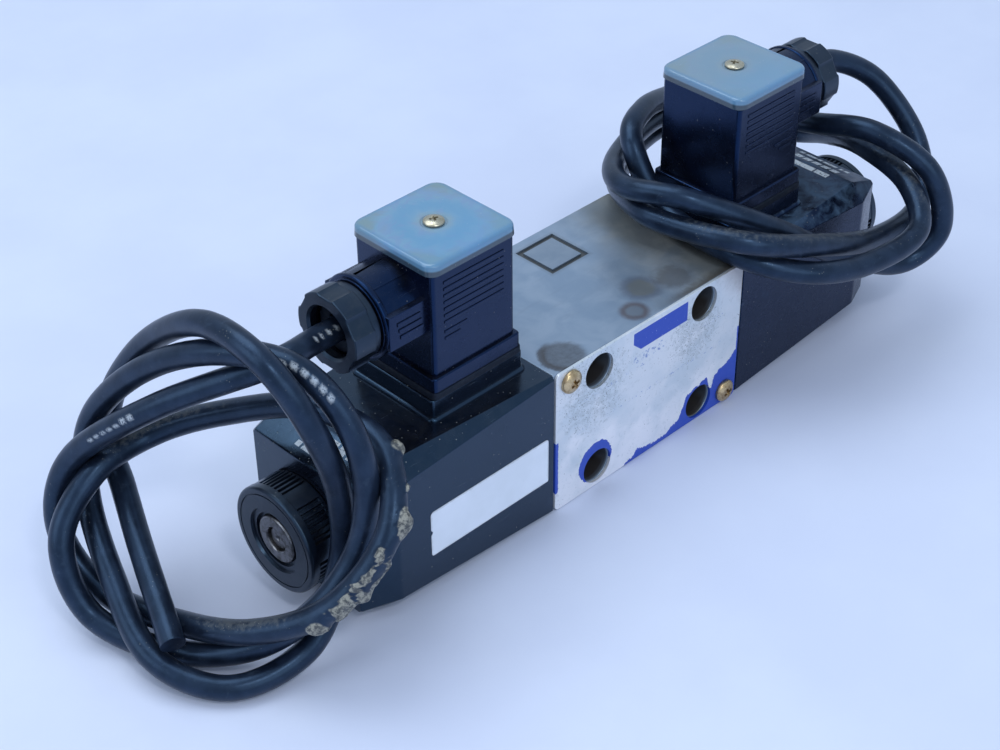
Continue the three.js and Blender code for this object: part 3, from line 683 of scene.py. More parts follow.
def smoky_cap():
    """Smoky blue translucent plastic: flow rings round the screw and yellowed corners."""
    f = Finish("smoky_cap")
    side_x = f.x.abs() - PLUG_X
    y = f.y - AXIS_Y
    from_screw = f.math("SQRT", side_x * side_x + y * y)
    warp = (f.noise(7, 3, 0.5, 1.5) - 0.5) * 7
    rings = f.math("SINE", (from_screw + warp) * 0.62) * 0.5 + 0.5
    base = f.blend(rings, (0.115, 0.265, 0.41), (0.155, 0.29, 0.41))
    lilac = (f.noise(5.5, 3, 0.5, 2.0) + rings * 0.18).rise(0.55, 0.75)
    colour = f.blend(lilac * 0.4, base, (0.16, 0.225, 0.40))
    square = side_x.abs().max(y.abs())
    spread = side_x.abs() + y.abs() + (f.noise(5, 3, 0.5, 1.0) - 0.5) * 14
    olive = spread.rise(15, 23)
    colour = f.blend(olive * 0.6, colour, (0.185, 0.235, 0.19))
    halo = (from_screw + (f.noise(3, 3) - 0.5) * 3).rise(5.4, 3.2)
    colour = f.blend(halo * 0.4, colour, (0.24, 0.29, 0.27))
    colour = f.blend(f.x.rise(0, 10) * 0.65, colour, (0.18, 0.25, 0.30))
    colour = f.blend((y * -1.0).rise(-2, 12) * 0.35, colour, (0.09, 0.27, 0.47))
    rim = square.rise(12.2, 13.6) * f.z.rise(CAP_HIGH.z - 2.6, CAP_HIGH.z - 1.2)
    colour = f.blend(rim * 0.45, colour, (0.07, 0.20, 0.38))
    skirt = f.z.rise(CAP_HIGH.z - 1.5, CAP_HIGH.z - 2.1)
    colour = f.blend(skirt * 0.88, colour, (0.022, 0.033, 0.05))
    dust = f.cells(1.1).rise(0.12, 0.06) * f.noise(5, 3).rise(0.52, 0.64)
    colour = f.blend(dust * 0.5, colour, (0.34, 0.36, 0.38))
    rough = f.noise(3, 4, 0.6).rise(0.35, 0.8) * 0.12 + 0.14 + dust * 0.3
    relief = f.bump(f.noise(2.5, 3), 0.015)
    return f.done(
        Base_Color=colour, Roughness=rough, Normal=relief,
        Subsurface_Weight=0.1, Subsurface_Radius=(0.002, 0.003, 0.004), Coat_Weight=0.4, Coat_Roughness=0.06,
    )


def cable_rubber():
    """Satin sheath: dust along it, dried cement where the mesh says so, and rubbed spots."""
    f = Finish("cable_rubber")
    grime = f.attribute("grime")
    crust = f.attribute("crust")
    dashes = f.attribute("print")
    tone = f.blend(f.noise(6, 4, 0.6).rise(0.35, 0.65), (0.0042, 0.0065, 0.0135), (0.010, 0.016, 0.031))
    rubbed = f.noise(2.6, 5, 0.7, 0.6).rise(0.56, 0.74)
    tone = f.blend(rubbed * 0.5, tone, (0.035, 0.05, 0.075))
    dust = (f.noise(1.5, 6, 0.78) + grime * 0.3 - 0.08).rise(0.58, 0.8) * (grime + 0.12).min(1.0)
    colour = f.blend(dust * 0.55, tone, (0.10, 0.10, 0.09))
    specks = f.cells(0.9).rise(0.16, 0.08) * (f.noise(5, 3) + grime * 0.2).rise(0.55, 0.66)
    colour = f.blend(specks * 0.6, colour, (0.26, 0.26, 0.23))
    cement = f.blend(f.noise(1.1, 4, 0.7).rise(0.4, 0.6), (0.07, 0.066, 0.055), (0.28, 0.265, 0.215))
    colour = f.blend(crust.rise(0.25, 0.6), colour, cement)
    colour = f.blend(dashes * f.noise(0.5, 3, 0.7).rise(0.36, 0.5) * 0.55, colour, (0.62, 0.67, 0.72))
    rough = f.noise(2, 4, 0.6) * 0.16 + dust * 0.25 + crust * 0.3 + rubbed * 0.1 + 0.24
    relief = f.bump(f.noise(0.5, 3, 0.6), 0.02, f.bump(f.noise(1.1, 3), 0.02))
    return f.done(
        Base_Color=colour, Roughness=rough, Normal=relief,
        Specular_IOR_Level=0.62, Specular_Tint=(0.35, 0.6, 1.0),
    )


def rubber():
    """Black seal rubber with slightly greyer patches."""
    f = Finish("seal_rubber_black")
    colour = f.blend(f.noise(1.5, 4, 0.6).rise(0.4, 0.7), (0.004, 0.005, 0.008), (0.014, 0.015, 0.018))
    relief = f.bump(f.noise(0.4, 3), 0.02)
    rough = f.noise(1.2, 3) * 0.25 + 0.42
    return f.done(Base_Color=colour, Roughness=rough, Normal=relief, Specular_Tint=(0.35, 0.5, 0.8))


def turned_metal(name, light, dark, rough, along="X"):
    """Turned or ground metal: fine rings round its axis, tarnish, and dirt with painted shade in its corners.
    """
    f = Finish(name)
    step = {"X": (6.0, 0.15, 0.15), "Y": (0.15, 6.0, 0.15), "Z": (0.15, 0.15, 6.0)}[along]
    rings = f.noise(1.0, 3, 0.7, at=f.vector(f.x * step[0], f.y * step[1], f.z * step[2]))
    tarnish = f.noise(1.7, 5, 0.65, 0.6).rise(0.4, 0.72)
    colour = f.blend(tarnish, light, dark)
    # Painted shade in corners: an occlusion mask darkens them towards near black, standing for dirt as well,
    # and dulls the metal there.
    corner_shade_and_dirt = f.crevice(0.9).rise(0.3, 0.9)
    colour = f.blend(corner_shade_and_dirt * 0.75, colour, (0.02, 0.018, 0.016))
    roughness = rings * 0.1 + tarnish * 0.2 + corner_shade_and_dirt * 0.2 + rough
    relief = f.bump(rings, 0.004)
    return f.done(Base_Color=colour, Metallic=1.0 - corner_shade_and_dirt * 0.6, Roughness=roughness, Normal=relief)


def natural_nylon():
    """The bobbins' cream nylon."""
    f = Finish("natural_nylon")
    colour = f.blend(f.noise(3, 4).rise(0.35, 0.65), (0.58, 0.54, 0.42), (0.7, 0.66, 0.55))
    relief = f.bump(f.noise(0.5, 3), 0.02)
    rough = f.noise(2, 3) * 0.2 + 0.4
    return f.done(Base_Color=colour, Roughness=rough, Normal=relief, Subsurface_Weight=0.08)


def blank_label():
    """White film label, a little greyed and scuffed at its edges."""
    f = Finish("blank_label")
    low, high = span("coil_label")
    edge = (f.x - low.x).min(high.x - f.x).min(f.z - low.z).min(high.z - f.z)
    rubbed = (edge + (f.noise(1.5, 4, 0.7) - 0.5) * 1.6).rise(0.55, 0.1)
    colour = f.blend(f.noise(14, 3).rise(0.35, 0.65), (0.67, 0.72, 0.80), (0.72, 0.77, 0.86))
    marks = f.cells(2.1).rise(0.05, 0.03)
    colour = f.blend(rubbed * 0.4 + marks * 0.4, colour, (0.4, 0.42, 0.45))
    relief = f.bump(f.noise(0.6, 3), 0.01)
    return f.done(Base_Color=colour, Roughness=f.noise(2, 3) * 0.2 + 0.38, Normal=relief)


def pale_print():
    """White print that is rubbed dark in places."""
    f = Finish("pale_print")
    left = f.noise(0.7, 5, 0.7).rise(0.36, 0.46)
    colour = f.blend(left, (0.08, 0.1, 0.13), (0.68, 0.74, 0.8))
    return f.done(Base_Color=colour, Roughness=f.noise(1, 3) * 0.2 + 0.45)


DUST = (0.085, 0.082, 0.07)
# Blue dust colour for the dusty coil: dust together with a painted sheen on its top faces.
BLUE_DUST_AND_SHEEN = (0.075, 0.125, 0.19)
STEEL = body_steel()
PLATE = worn_plate()
COIL_BLACK_A = moulded(
    "coil_black_clean", (0.002, 0.0026, 0.0055), DUST, 0.08, 0.16, gloss=0.9, sheen=(0.3, 0.6, 1.0),
)
# This coil's blue dust is dust and a painted sheen that lightens its top faces.
COIL_BLACK_B = moulded(
    "coil_black_dusty_sheen", (0.0016, 0.0024, 0.0055), BLUE_DUST_AND_SHEEN, 0.75, 0.22, gloss=0.62, sheen=(0.1, 0.34, 1.0),
)
PLUG_BLACK = moulded(
    "plug_black", (0.0012, 0.0017, 0.0042), DUST, 0.06, 0.22, 0.02, 0.6, gloss=0.74, sheen=(0.1, 0.33, 1.0),
)
NUT_BLACK = moulded("nut_black", (0.0025, 0.0034, 0.007), DUST, 0.12, 0.28, 0.03, 0.5)
INSERT_GREY = moulded("insert_grey", (0.05, 0.053, 0.06), DUST, 0.1, 0.42)
CAP_BLUE = smoky_cap()
CABLE_BLACK = cable_rubber()
RUBBER = rubber()
CORE = turned_metal("core_steel", (0.22, 0.22, 0.235), (0.075, 0.07, 0.068), 0.24)
GROUND = turned_metal("ground_steel_bright", (0.62, 0.63, 0.65), (0.45, 0.46, 0.48), 0.14)
IRON = turned_metal("armature_iron", (0.4, 0.4, 0.41), (0.25, 0.25, 0.26), 0.3)
COPPER = turned_metal("enamelled_copper", (0.62, 0.27, 0.12), (0.42, 0.16, 0.07), 0.2)
BRASS = turned_metal("tinned_brass", (0.66, 0.5, 0.24), (0.5, 0.38, 0.2), 0.22, "Z")
YELLOW_ZINC = turned_metal("yellow_zinc", (0.62, 0.47, 0.27), (0.34, 0.22, 0.12), 0.2, "Y")
PALE_BRASS = turned_metal("pale_brass", (0.6, 0.55, 0.42), (0.38, 0.33, 0.23), 0.22, "Z")
NYLON = natural_nylon()
LABEL_WHITE = blank_label()
PRINT_WHITE = pale_print()


# ---- valve body -----------------------------------------------------------------------------

BOLT_THROUGH = 2.75
BOLT_BORE_DEPTH = 14
PORTS = {"p": (1.25, 10.4, 22), "a": (-7.55, 0, 19.9), "b": (9.95, 0, 19.9), "t": (1.25, -10.4, 20)}
PORT_R = 3
SEAT_R = 6.1
SEAT_DEPTH = 1.3
PLATE_SCREWS = {"nameplate_screw_upper": (-31, 18), "nameplate_screw_lower": (31, -18)}
SCREW_HOLE = 1.6
BORE = 6.5


def valve_body():
    back = BODY_LOW.y
    body = soft_box(BODY_LOW, BODY_HIGH, 0.35, 3)
    cuts = []
    for x, z in BOLTS:
        cuts.append(lathe([
            (back - 1, 0, 0), (back - 1, BOLT_BORE + 0.35, 0), (back, BOLT_BORE + 0.35, 0),
            (back + 0.35, BOLT_BORE, 0), (back + BOLT_BORE_DEPTH, BOLT_BORE, 0),
            (back + BOLT_BORE_DEPTH, BOLT_THROUGH, 0), (-0.3, BOLT_THROUGH, 0), (0, BOLT_THROUGH + 0.3, 0),
            (1, BOLT_THROUGH + 0.3, 0), (1, 0, 0),
        ], "Y", (x, 0, z)))
    for x, z, depth in PORTS.values():
        cuts.append(lathe([
            (1, 0, 0), (1, SEAT_R + 0.15, 0), (0, SEAT_R + 0.15, 0), (-0.15, SEAT_R, 0),
            (-SEAT_DEPTH, SEAT_R, 0), (-SEAT_DEPTH, PORT_R, 0), (-depth, PORT_R, 0), (-depth - 0.9, 0, 0),
        ], "Y", (x, 0, z)))
    for x, z in PLATE_SCREWS.values():
        cuts.append(lathe(bar(back - 1, back + 7, SCREW_HOLE), "Y", (x, 0, z), HOLE_ROUND))
    half = [
        (0, 9), (2.5, 9), (2.5, BORE), (7.5, BORE), (7.5, 9), (12.5, 9), (12.5, BORE), (17.5, BORE),
        (17.5, 11.5), (22.5, 11.5), (22.5, BORE), (24.9, BORE), (24.9, 9), (28, 9), (28, 11),
        (38, 11), (38, 0),
    ]
    bore = [(x, r, 0) for x, r in half] + [(-x, r, 0) for x, r in reversed(half[1:])]
    cuts.append(lathe(bore, "X", (0, AXIS_Y, 0)))
    cuts.append(lathe(bar(-20, 20, 2.4), "X", (0, -20, -10.4), HOLE_ROUND))
    cuts.append(square_groove())
    return show(carve(body, cuts), "valve_body", STEEL)


def square_groove():
    """A plain square frame, milled in the top face."""
    corner = math.sqrt(2)
    inner = (MARK["half"] - MARK["width"]) * corner
    outer = MARK["half"] * corner
    low = BODY_HIGH.z - MARK["depth"]
    section = ring_section(low, BODY_HIGH.z + 1, inner, outer, 0)
    return lathe(section, "Z", (MARK["x"], MARK["y"], 0), 4, math.pi / 4)


def nameplate():
    low, high = span("nameplate")
    sheet = slab((high.x - low.x) / 2, (high.z - low.z) / 2, 1.5, -high.y, -low.y, 0.1, 0.22)
    sheet.data.transform(Matrix.Rotation(math.pi / 2, 4, "X"))
    cuts = [lathe(bar(low.y - 1, high.y + 1, BOLT_BORE), "Y", (x, 0, z)) for x, z in BOLTS]
    for x, z in PLATE_SCREWS.values():
        cuts.append(lathe(bar(low.y - 1, high.y + 1, SCREW_HOLE), "Y", (x, 0, z), HOLE_ROUND))
    return show(carve(sheet, cuts), "nameplate", PLATE)


def cross_screw(head_r, height, shank_r, length, recess):
    """A pan-head screw along +Z with a tapered cross recess and a rolled thread."""
    pitch = 0.7
    thread = []
    z = -length + 0.8
    while z < -0.9:
        thread += [(z, shank_r - 0.18, 0), (z + pitch / 2, shank_r, 0)]
        z += pitch
    screw = lathe([
        (-length, 0, 0), (-length, shank_r - 0.4, 0), *thread, (-0.3, shank_r - 0.18, 0), (0, shank_r, 0),
        (0, head_r, 0.1), (0.5 * height, head_r, 0.45 * height), (height, 0.5 * head_r, 0.8 * head_r),
        (height, 0, 0),
    ], "Z", sides=SMALL_ROUND)
    wing = 0.13 * head_r
    reach = 0.56 * head_r
    cutters = []
    for turn in (0, math.pi / 2):
        wedge = slab(reach, wing, 0.04, height - recess, height + 1, 0.03, 0.0)
        for v in wedge.data.vertices:
            deep = (height - v.co.z) / recess
            v.co.x *= 1 - 0.45 * min(max(deep, 0), 1)
        wedge.data.transform(Matrix.Rotation(turn + 0.35, 4, "Z"))
        cutters.append(wedge)
    return carve(screw, cutters)


def plate_screws():
    seat = span("nameplate")[0].y
    for node, (x, z) in PLATE_SCREWS.items():
        screw = cross_screw(3.3, 1.9, 1.4, 6.5, 1.15)
        screw.data.transform(Matrix.Rotation(math.pi / 2, 4, "X"))
        show(moved(screw, x, seat - 0.01, z), node, YELLOW_ZINC)


def port_seals():
    for letter, (x, z, _) in PORTS.items():
        seal = lathe(ring_section(-1.23, -0.03, 4.3, 5.9, 0.5), "Y", (x, 0, z), SMALL_ROUND)
        show(seal, f"port_seal_{letter}", RUBBER)


def land_groove(x, land):
    """The outline of one balancing groove in a land."""
    deep = land - 0.25
    return [(x, land, 0), (x + 0.15, deep, 0), (x + 0.35, deep, 0), (x + 0.5, land, 0)]


def spool():
    """Ground spool with two inner lands, two guide lands and balancing grooves."""
    land, neck = 6.4, 3.6
    half = [(0, neck, 0), (7, neck, 0.4), (7, land, 0.05)]
    for x in (9, 10, 11):
        half += land_groove(x, land)
    half += [(13, land, 0.05), (13, neck, 0.4), (21.5, neck, 0.4), (21.5, land, 0.05)]
    for x in (23.4, 24.8):
        half += land_groove(x, land)
    half += [(27.9, land, 0.3), (27.9, 0, 0)]
    outline = half + [(-x, r, e) for x, r, e in reversed(half[1:])]
    show(lathe(outline, "X", (0, AXIS_Y, 0), SMALL_ROUND), "spool", GROUND)


# ---- solenoids ------------------------------------------------------------------------------

COIL_X0, COIL_SHOULDER, COIL_X1 = 36.5, 89.5, 99.3
PEDESTAL_TOP = 27.8
# Each plug's contact blades: middle and half size in X and Y, from the plug's axis.
BLADES = {
    "terminal_line": (0, -8, 3.1, 0.4),
    "terminal_return": (0, 8, 3.1, 0.4),
    "terminal_earth": (-8, 0, 0.4, 3.1),
}


def blade_slots(z0, z1):
    """Cutters that leave a little room round each blade."""
    slots = []
    for x, y, half_x, half_y in BLADES.values():
        slots.append(slab(half_x + 0.15, half_y + 0.15, 0.1, z0, z1, 0, 0, (PLUG_X + x, y)))
    return slots


def coil_ring(x, half_y, half_z, chamfer, soft):
    """The coil's cross-section: a rectangle with bevelled corners whose edges are softened."""
    corners = []
    for sy, sz in ((1, -1), (1, 1), (-1, 1), (-1, -1)):
        one = (sy * half_y, sz * (half_z - chamfer), soft)
        two = (sy * (half_y - chamfer), sz * half_z, soft)
        corners += [one, two] if sy * sz < 0 else [two, one]
    ordered = sorted(corners, key=lambda c: math.atan2(c[1], c[0]))
    return [Vector((x, p.x, p.y)) for p in filleted(ordered, 3)]


def coil_housing(side, letter):
    stations = []
    soft = 0.5

    def at(x, inset=0.0):
        if x <= COIL_SHOULDER:
            t = (x - COIL_X0) / (COIL_SHOULDER - COIL_X0)
            half_y, half_z, chamfer = 22.5, 22.0, 0.8 + (4.6 - 0.8) * t
        else:
            t = (x - COIL_SHOULDER) / (COIL_X1 - COIL_SHOULDER)
            half_y, half_z, chamfer = 22.5 - 4 * t, 22.0 - 3.5 * t, 4.6 + (0.7 - 4.6) * t
        keep = min(soft, chamfer * 0.35)
        stations.append(coil_ring(x, half_y - inset, half_z - inset, chamfer, keep))

    rim = 0.5
    at(COIL_X0, rim * 0.6)
    at(COIL_X0 + rim * 0.15, rim * 0.25)
    at(COIL_X0 + rim * 0.6)
    for x in (50, 64, 77, 88.6, COIL_SHOULDER - 0.3):
        at(x)
    at(COIL_SHOULDER + 0.3, 0.02)
    for x in (91.5, 95, COIL_X1 - rim):
        at(x)
    at(COIL_X1 - rim * 0.2, rim * 0.25)
    at(COIL_X1, rim)
    housing = loft(stations)
    pedestal = slab(15.2, 14.2, 1.0, 18, PEDESTAL_TOP, 0.1, 0.45, (PLUG_X, 0))
    skirt = slab(16.1, 15.1, 1.8, 20, 23.0, 0.1, 0.9, (PLUG_X, 0))
    housing = carve(housing, [pedestal, skirt], "UNION")
    cuts = [
        lathe(bar(COIL_X0 - 1, COIL_X1 + 1, 9.7), "X"),
        lathe(bar(42, 92, 17.6), "X"),
        lathe(bar(COIL_X0 - 1, COIL_X0 + 1.9, 13.2), "X"),
        lathe(bar(24.2, PEDESTAL_TOP + 1, 1.7), "Z", (PLUG_X, 0, 0), HOLE_ROUND),
    ]
    housing = carve(housing, cuts + blade_slots(25.1, PEDESTAL_TOP + 1))
    show(housing, f"coil_housing_{letter}", COIL_BLACK_A if side < 0 else COIL_BLACK_B, side)


def coil_internals(side, letter):
    bobbin = lathe([
        (42.2, 9.9, 0), (42.2, 17.3, 0.3), (43.6, 17.3, 0.3), (43.6, 10.9, 0.3), (90.4, 10.9, 0.3),
        (90.4, 17.3, 0.3), (91.8, 17.3, 0.3), (91.8, 9.9, 0),
    ], "X", sides=SMALL_ROUND)
    show(bobbin, f"coil_bobbin_{letter}", NYLON, side)
    start = 43.72
    pitch = 0.93
    turns = 50
    wire = [(start, 11, 0)]
    for k in range(turns):
        x = start + k * pitch
        for share, r in ((0, 16.7), (0.25, 16.93), (0.5, 17.0), (0.75, 16.93)):
            wire.append((x + pitch * share, r, 0))
    wire += [(start + turns * pitch, 16.7, 0), (start + turns * pitch, 11, 0)]
    show(lathe(wire, "X", sides=SMALL_ROUND), f"coil_winding_{letter}", COPPER, side)
    coil_seal = lathe(ring_section(36.6, 38.2, 11.4, 12.9, 0.6), "X", sides=SMALL_ROUND)
    show(coil_seal, f"coil_seal_{letter}", RUBBER, side)
    nut_seal = lathe(ring_section(99.4, 101.2, 7.4, 10.9, 0.7), "X", sides=SMALL_ROUND)
    show(nut_seal, f"nut_seal_{letter}", RUBBER, side)
    armature = lathe([
        (52, 1.1, 0), (52, 8, 0.8), (60, 8, 0), (60.4, 7.7, 0), (61.2, 7.7, 0), (61.6, 8, 0),
        (80, 8, 0), (80.4, 7.7, 0), (81.2, 7.7, 0), (81.6, 8, 0), (88, 8, 0.8), (88, 1.1, 0),
    ], "X", sides=SMALL_ROUND)
    show(armature, f"armature_{letter}", IRON, side)
    show(lathe(bar(28, 51.9, 1.9, 0.3), "X", sides=32), f"push_pin_{letter}", GROUND, side)
    seat = lathe(ring_section(28, 29.2, 2.2, 7.6, 0.2), "X", sides=SMALL_ROUND)
    show(seat, f"spring_seat_{letter}", GROUND, side)


def core_tube(side, letter):
    """The pressure tube: its threaded root, smooth barrel and the stub that shows in the nut."""
    groove = [(30.2, 10.8, 0)]
    x = 30.2
    while x < 35.4:
        groove += [(x + 0.35, 10.45, 0), (x + 0.7, 10.8, 0)]
        x += 0.7
    tube = lathe([
        (28.3, 8.2, 0.1), (28.3, 10.8, 0.3), *groove, (36.5, 10.8, 0.1), (36.5, 9.5, 0.1), (98.8, 9.5, 0.2),
        (98.8, 6.5, 0.2), (109, 6.5, 0.7), (109, 3.6, 0), (108.7, 3.3, 0), (100.5, 3.3, 0), (100.5, 1.5, 0),
        (92.5, 1.5, 0), (92.5, 8.2, 0), (48.5, 8.2, 0), (48.5, 2.1, 0), (39.4, 2.1, 0), (39.4, 8.2, 0),
    ], "X")
    show(tube, f"core_tube_{letter}", CORE, side)
    pin = lathe([
        (94.4, 0, 0), (94.4, 1.4, 0.2), (104.5, 1.4, 0), (104.5, 2.9, 0.15), (108.2, 2.9, 0.4),
        (108.2, 1.0, 0.2), (107.3, 0, 0),
    ], "X", sides=SMALL_ROUND)
    show(pin, f"override_pin_{letter}", CORE, side)


def centring_spring(side, letter):
    """A closed-end coil spring that shortens and stretches with the spool."""
    radius, wire, turns, sides = 6.4, 0.6, 4, 12
    x0, x1 = 29.9, 38.7
    steps = turns * 40
    rest = 0.06
    along = Vector((1, 0, 0))
    rings = []
    for k in range(steps + 1):
        t = k / steps
        angle = 2 * math.pi * turns * t
        eased = min(max((t - rest) / (1 - 2 * rest), 0), 1)
        centre = Vector((x0 + (x1 - x0) * eased, radius * math.cos(angle), radius * math.sin(angle)))
        outward = Vector((0, math.cos(angle), math.sin(angle)))
        ring = []
        for i in range(sides):
            a = 2 * math.pi * i / sides
            ring.append(centre + (outward * math.cos(a) + along * math.sin(a)) * wire)
        rings.append(ring)
    spring = loft(rings)
    obj = show(spring, f"centring_spring_{letter}", GROUND, side)
    obj.modifiers.clear()
    start, end = [(side * x * MM, AXIS_Y * MM, 0) for x in (x0 - wire, x1 + wire)]
    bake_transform(obj, "spool", "valve", start=start, end=end)


def coil_nut(side, letter):
    """Moulded hand nut: a smooth front rim, and groups of ribs between raised panels."""
    x0, x1, r = 99.4, 109.5, 14.4
    groups, ribs = 6, 6
    outline = []
    sector = 2 * math.pi / groups
    ribbed = 0.6 * sector
    pitch = ribbed / ribs
    valley = r - 1.0
    for g in range(groups):
        start = g * sector
        for i in range(ribs):
            a = start + i * pitch
            for at, radius in ((0.0, valley), (0.38, valley), (0.5, r - 0.25), (0.88, r - 0.25)):
                outline.append((radius, a + at * pitch))
        outline.append((valley, start + ribbed))
        panel = sector - ribbed
        outline.append((valley, start + ribbed + 0.06 * panel))
        for k in range(9):
            outline.append((r - 0.15, start + ribbed + panel * (0.1 + 0.84 * k / 8)))
        outline.append((valley, start + sector - 0.02 * panel))
    points = [(radius * math.cos(a), radius * math.sin(a)) for radius, a in outline]
    grip = stretch(points, x0 + 0.6, x1 - 2.0, 0.12)
    rim = lathe([(x1 - 2.4, 0, 0), (x1 - 2.4, r, 0.2), (x1, r, 0.7), (x1, 0, 0)], "X", sides=NUT_ROUND)
    base = lathe(bar(x0, x0 + 1.2, valley + 0.3, 0.2), "X", sides=NUT_ROUND)
    nut = carve(grip, [rim, base], "UNION")
    cuts = [
        lathe(bar(x0 - 1, x1 + 1, 6.6), "X"),
        lathe([
            (x1 - 1.7, 0, 0), (x1 - 1.7, 7.3, 0), (x1 - 0.7, 7.4, 0), (x1 - 0.7, 8.7, 0), (x1, 8.9, 0),
            (x1 + 1, 8.9, 0), (x1 + 1, 0, 0),
        ], "X", sides=NUT_ROUND),
        lathe(ring_section(x1 - 0.3, x1 + 1, 12.4, 12.75, 0), "X", sides=NUT_ROUND),
        lathe(bar(x0 - 1, x0 + 2.1, 11.3), "X"),
    ]
    nut = carve(nut, cuts)
    show(nut, f"coil_nut_{letter}", NUT_BLACK, side)


# ---- plugs ----------------------------------------------------------------------------------


def square_ring(half, inner, z0, z1, corner, soft):
    """A square frame round the plug's axis, between two heights."""
    outer = slab(half, half, corner, z0, z1, soft, soft, (PLUG_X, 0))
    inner_corner = max(corner - half + inner, 0.6)
    return carve(outer, [slab(inner, inner, inner_corner, z0 - 1, z1 + 1, 0, 0, (PLUG_X, 0))])


def face_block(face, near, far, x0, x1, z0, z1, edge):
    """A soft block on the plug's +Y or -Y face, between two distances from the plug's axis."""
    low, high = sorted((face * near, face * far))
    return soft_box((x0, low, z0), (x1, high, z1), edge)


def grip_rib(face, x0, x1, z):
    return face_block(face, 13.2, 13.62, x0, x1, z, z + 0.85, 0.18)


def plug_housing(side, letter):
    """Moulded shell: skirt, box, cable boss with its flat panel, and grip ribs on two faces."""
    lip = slab(14.4, 14.4, 1.2, 29.8, 33.8, 0.15, 0.5, (PLUG_X, 0))
    shell = slab(13.4, 13.4, 1.2, 32.8, 62, 0.1, 0.35, (PLUG_X, 0))
    boss = lathe([
        (PLUG_X + 5, 0, 0), (PLUG_X + 5, 10.75, 0), (78.6, 10.75, 0), (80.2, 9.9, 0.3), (80.2, 8, 0),
        (86, 8, 0.3), (86, 0, 0),
    ], "X", (0, 0, CABLE_Z))
    rim = lathe(ring_section(78.4, 80.0, 4, 11.1, 0.55), "X", (0, 0, CABLE_Z))
    extras = [rim]
    for face in (-1, 1):
        extras.append(face_block(face, 6, 11.3, 66, 79.6, 45.9, 55.4, 0.25))
        for k in range(3):
            x = 0.4 * k
            z = 1.9 * k
            extras.append(face_block(face, 11.2, 11.55, 69.2 + x, 76.4 + x, 48.2 + z, 49.2 + z, 0.12))
        for k in range(7):
            z = 47.6 + 1.85 * k
            extras.append(grip_rib(face, PLUG_X - 9.8, PLUG_X + 9.8, z))
        for k, reach in enumerate((5.2, 7.4)):
            extras.append(grip_rib(face, PLUG_X + 9.8 - reach, PLUG_X + 9.8, 43.0 + 1.85 * k))
    seam = soft_box((PLUG_X + 8, -0.22, CABLE_Z + 10.2), (79, 0.22, CABLE_Z + 10.95), 0.15)
    about = Matrix.Translation((0, 0, CABLE_Z))
    seam.data.transform(about @ Matrix.Rotation(math.radians(28), 4, "X") @ about.inverted())
    extras.append(seam)
    housing = carve(lip, [shell, boss, *extras], "UNION")
    room = slab(11.4, 11.4, 0.5, 28.8, 63, 0, 0, (PLUG_X, 0))
    way = lathe(bar(60, 87, 7), "X", (0, 0, CABLE_Z))
    housing = carve(housing, [room, way])
    show(housing, f"plug_housing_{letter}", PLUG_BLACK, side)


def plug_small_parts(side, letter):
    show(square_ring(14.7, 10.6, 27.8, 29.8, 1.5, 0.25), f"plug_gasket_{letter}", RUBBER, side)
    show(square_ring(11.2, 9.8, 61.2, 63.85, 1.5, 0.2), f"cap_seal_{letter}", RUBBER, side)
    screw = cross_screw(2.65, 0.95, 1.45, 65.5 - 24.6, 0.8)
    show(moved(screw, PLUG_X, 0, 65.52), f"plug_screw_{letter}", PALE_BRASS, side)
    for node, (x, y, half_x, half_y) in BLADES.items():
        blade = slab(half_x, half_y, 0.15, 25.3, 41, 0.05, 0.35, (PLUG_X + x, y))
        axis = "Y" if half_x > half_y else "X"
        eye = lathe(bar(-12, 12, 0.9), axis, (PLUG_X + x * (axis == "Y"), y * (axis == "X"), 37.2), 24)
        if axis == "X":
            eye.data.transform(Matrix.Translation((PLUG_X, 0, 0)))
        show(carve(blade, [eye]), f"{node}_{letter}", BRASS, side)
    insert = slab(10.4, 10.4, 0.8, 30.1, 43, 0.2, 0.4, (PLUG_X, 0))
    cuts = [lathe(bar(29, 44, 1.9), "Z", (PLUG_X, 0, 0), 32)]
    show(carve(insert, cuts + blade_slots(29, 41.4)), f"plug_insert_{letter}", INSERT_GREY, side)


def plug_cap(side, letter):
    """Domed cap: a thin skirt, a pillowed top and a dished seat for its screw."""
    half = (CAP_HIGH.x - CAP_LOW.x) / 2
    top, low = CAP_HIGH.z, CAP_LOW.z
    rings = [(0.25, low, 2.6), (0.02, low + 0.2, 3.0), (0.0, low + 1.0, 3.2), (0.05, top - 0.95, 3.3)]
    for k in range(1, 8):
        a = math.pi / 2 * k / 7
        rings.append((0.05 + 0.85 * (1 - math.cos(a)), top - 0.95 + 0.8 * math.sin(a), 3.3))
    for inset, rise in ((3.2, 0.06), (6.0, 0.11), (9.2, 0.15)):
        rings.append((inset, top - 0.15 + rise, max(3.4 - inset * 0.2, 1.2)))
    loops = []
    for inset, z, corner in rings:
        outline = rounded_rectangle(half - inset, half - inset, corner, 8)
        loops.append([Vector((p.x + PLUG_X, p.y, z)) for p in outline])
    cap = loft(loops)
    hollow = slab(11.8, 11.8, 1.5, low - 1, top - 1.6, 0, 0.3, (PLUG_X, 0))
    dish = lathe([
        (top - 0.25, 0, 0), (top - 0.25, 3.1, 0), (top + 0.25, 3.7, 0), (top + 0.25, 0, 0),
    ], "Z", (PLUG_X, 0, 0))
    hole = lathe(bar(low - 1, top + 1, 1.9), "Z", (PLUG_X, 0, 0), 32)
    show(carve(cap, [hollow, dish, hole]), f"plug_cap_{letter}", CAP_BLUE, side)


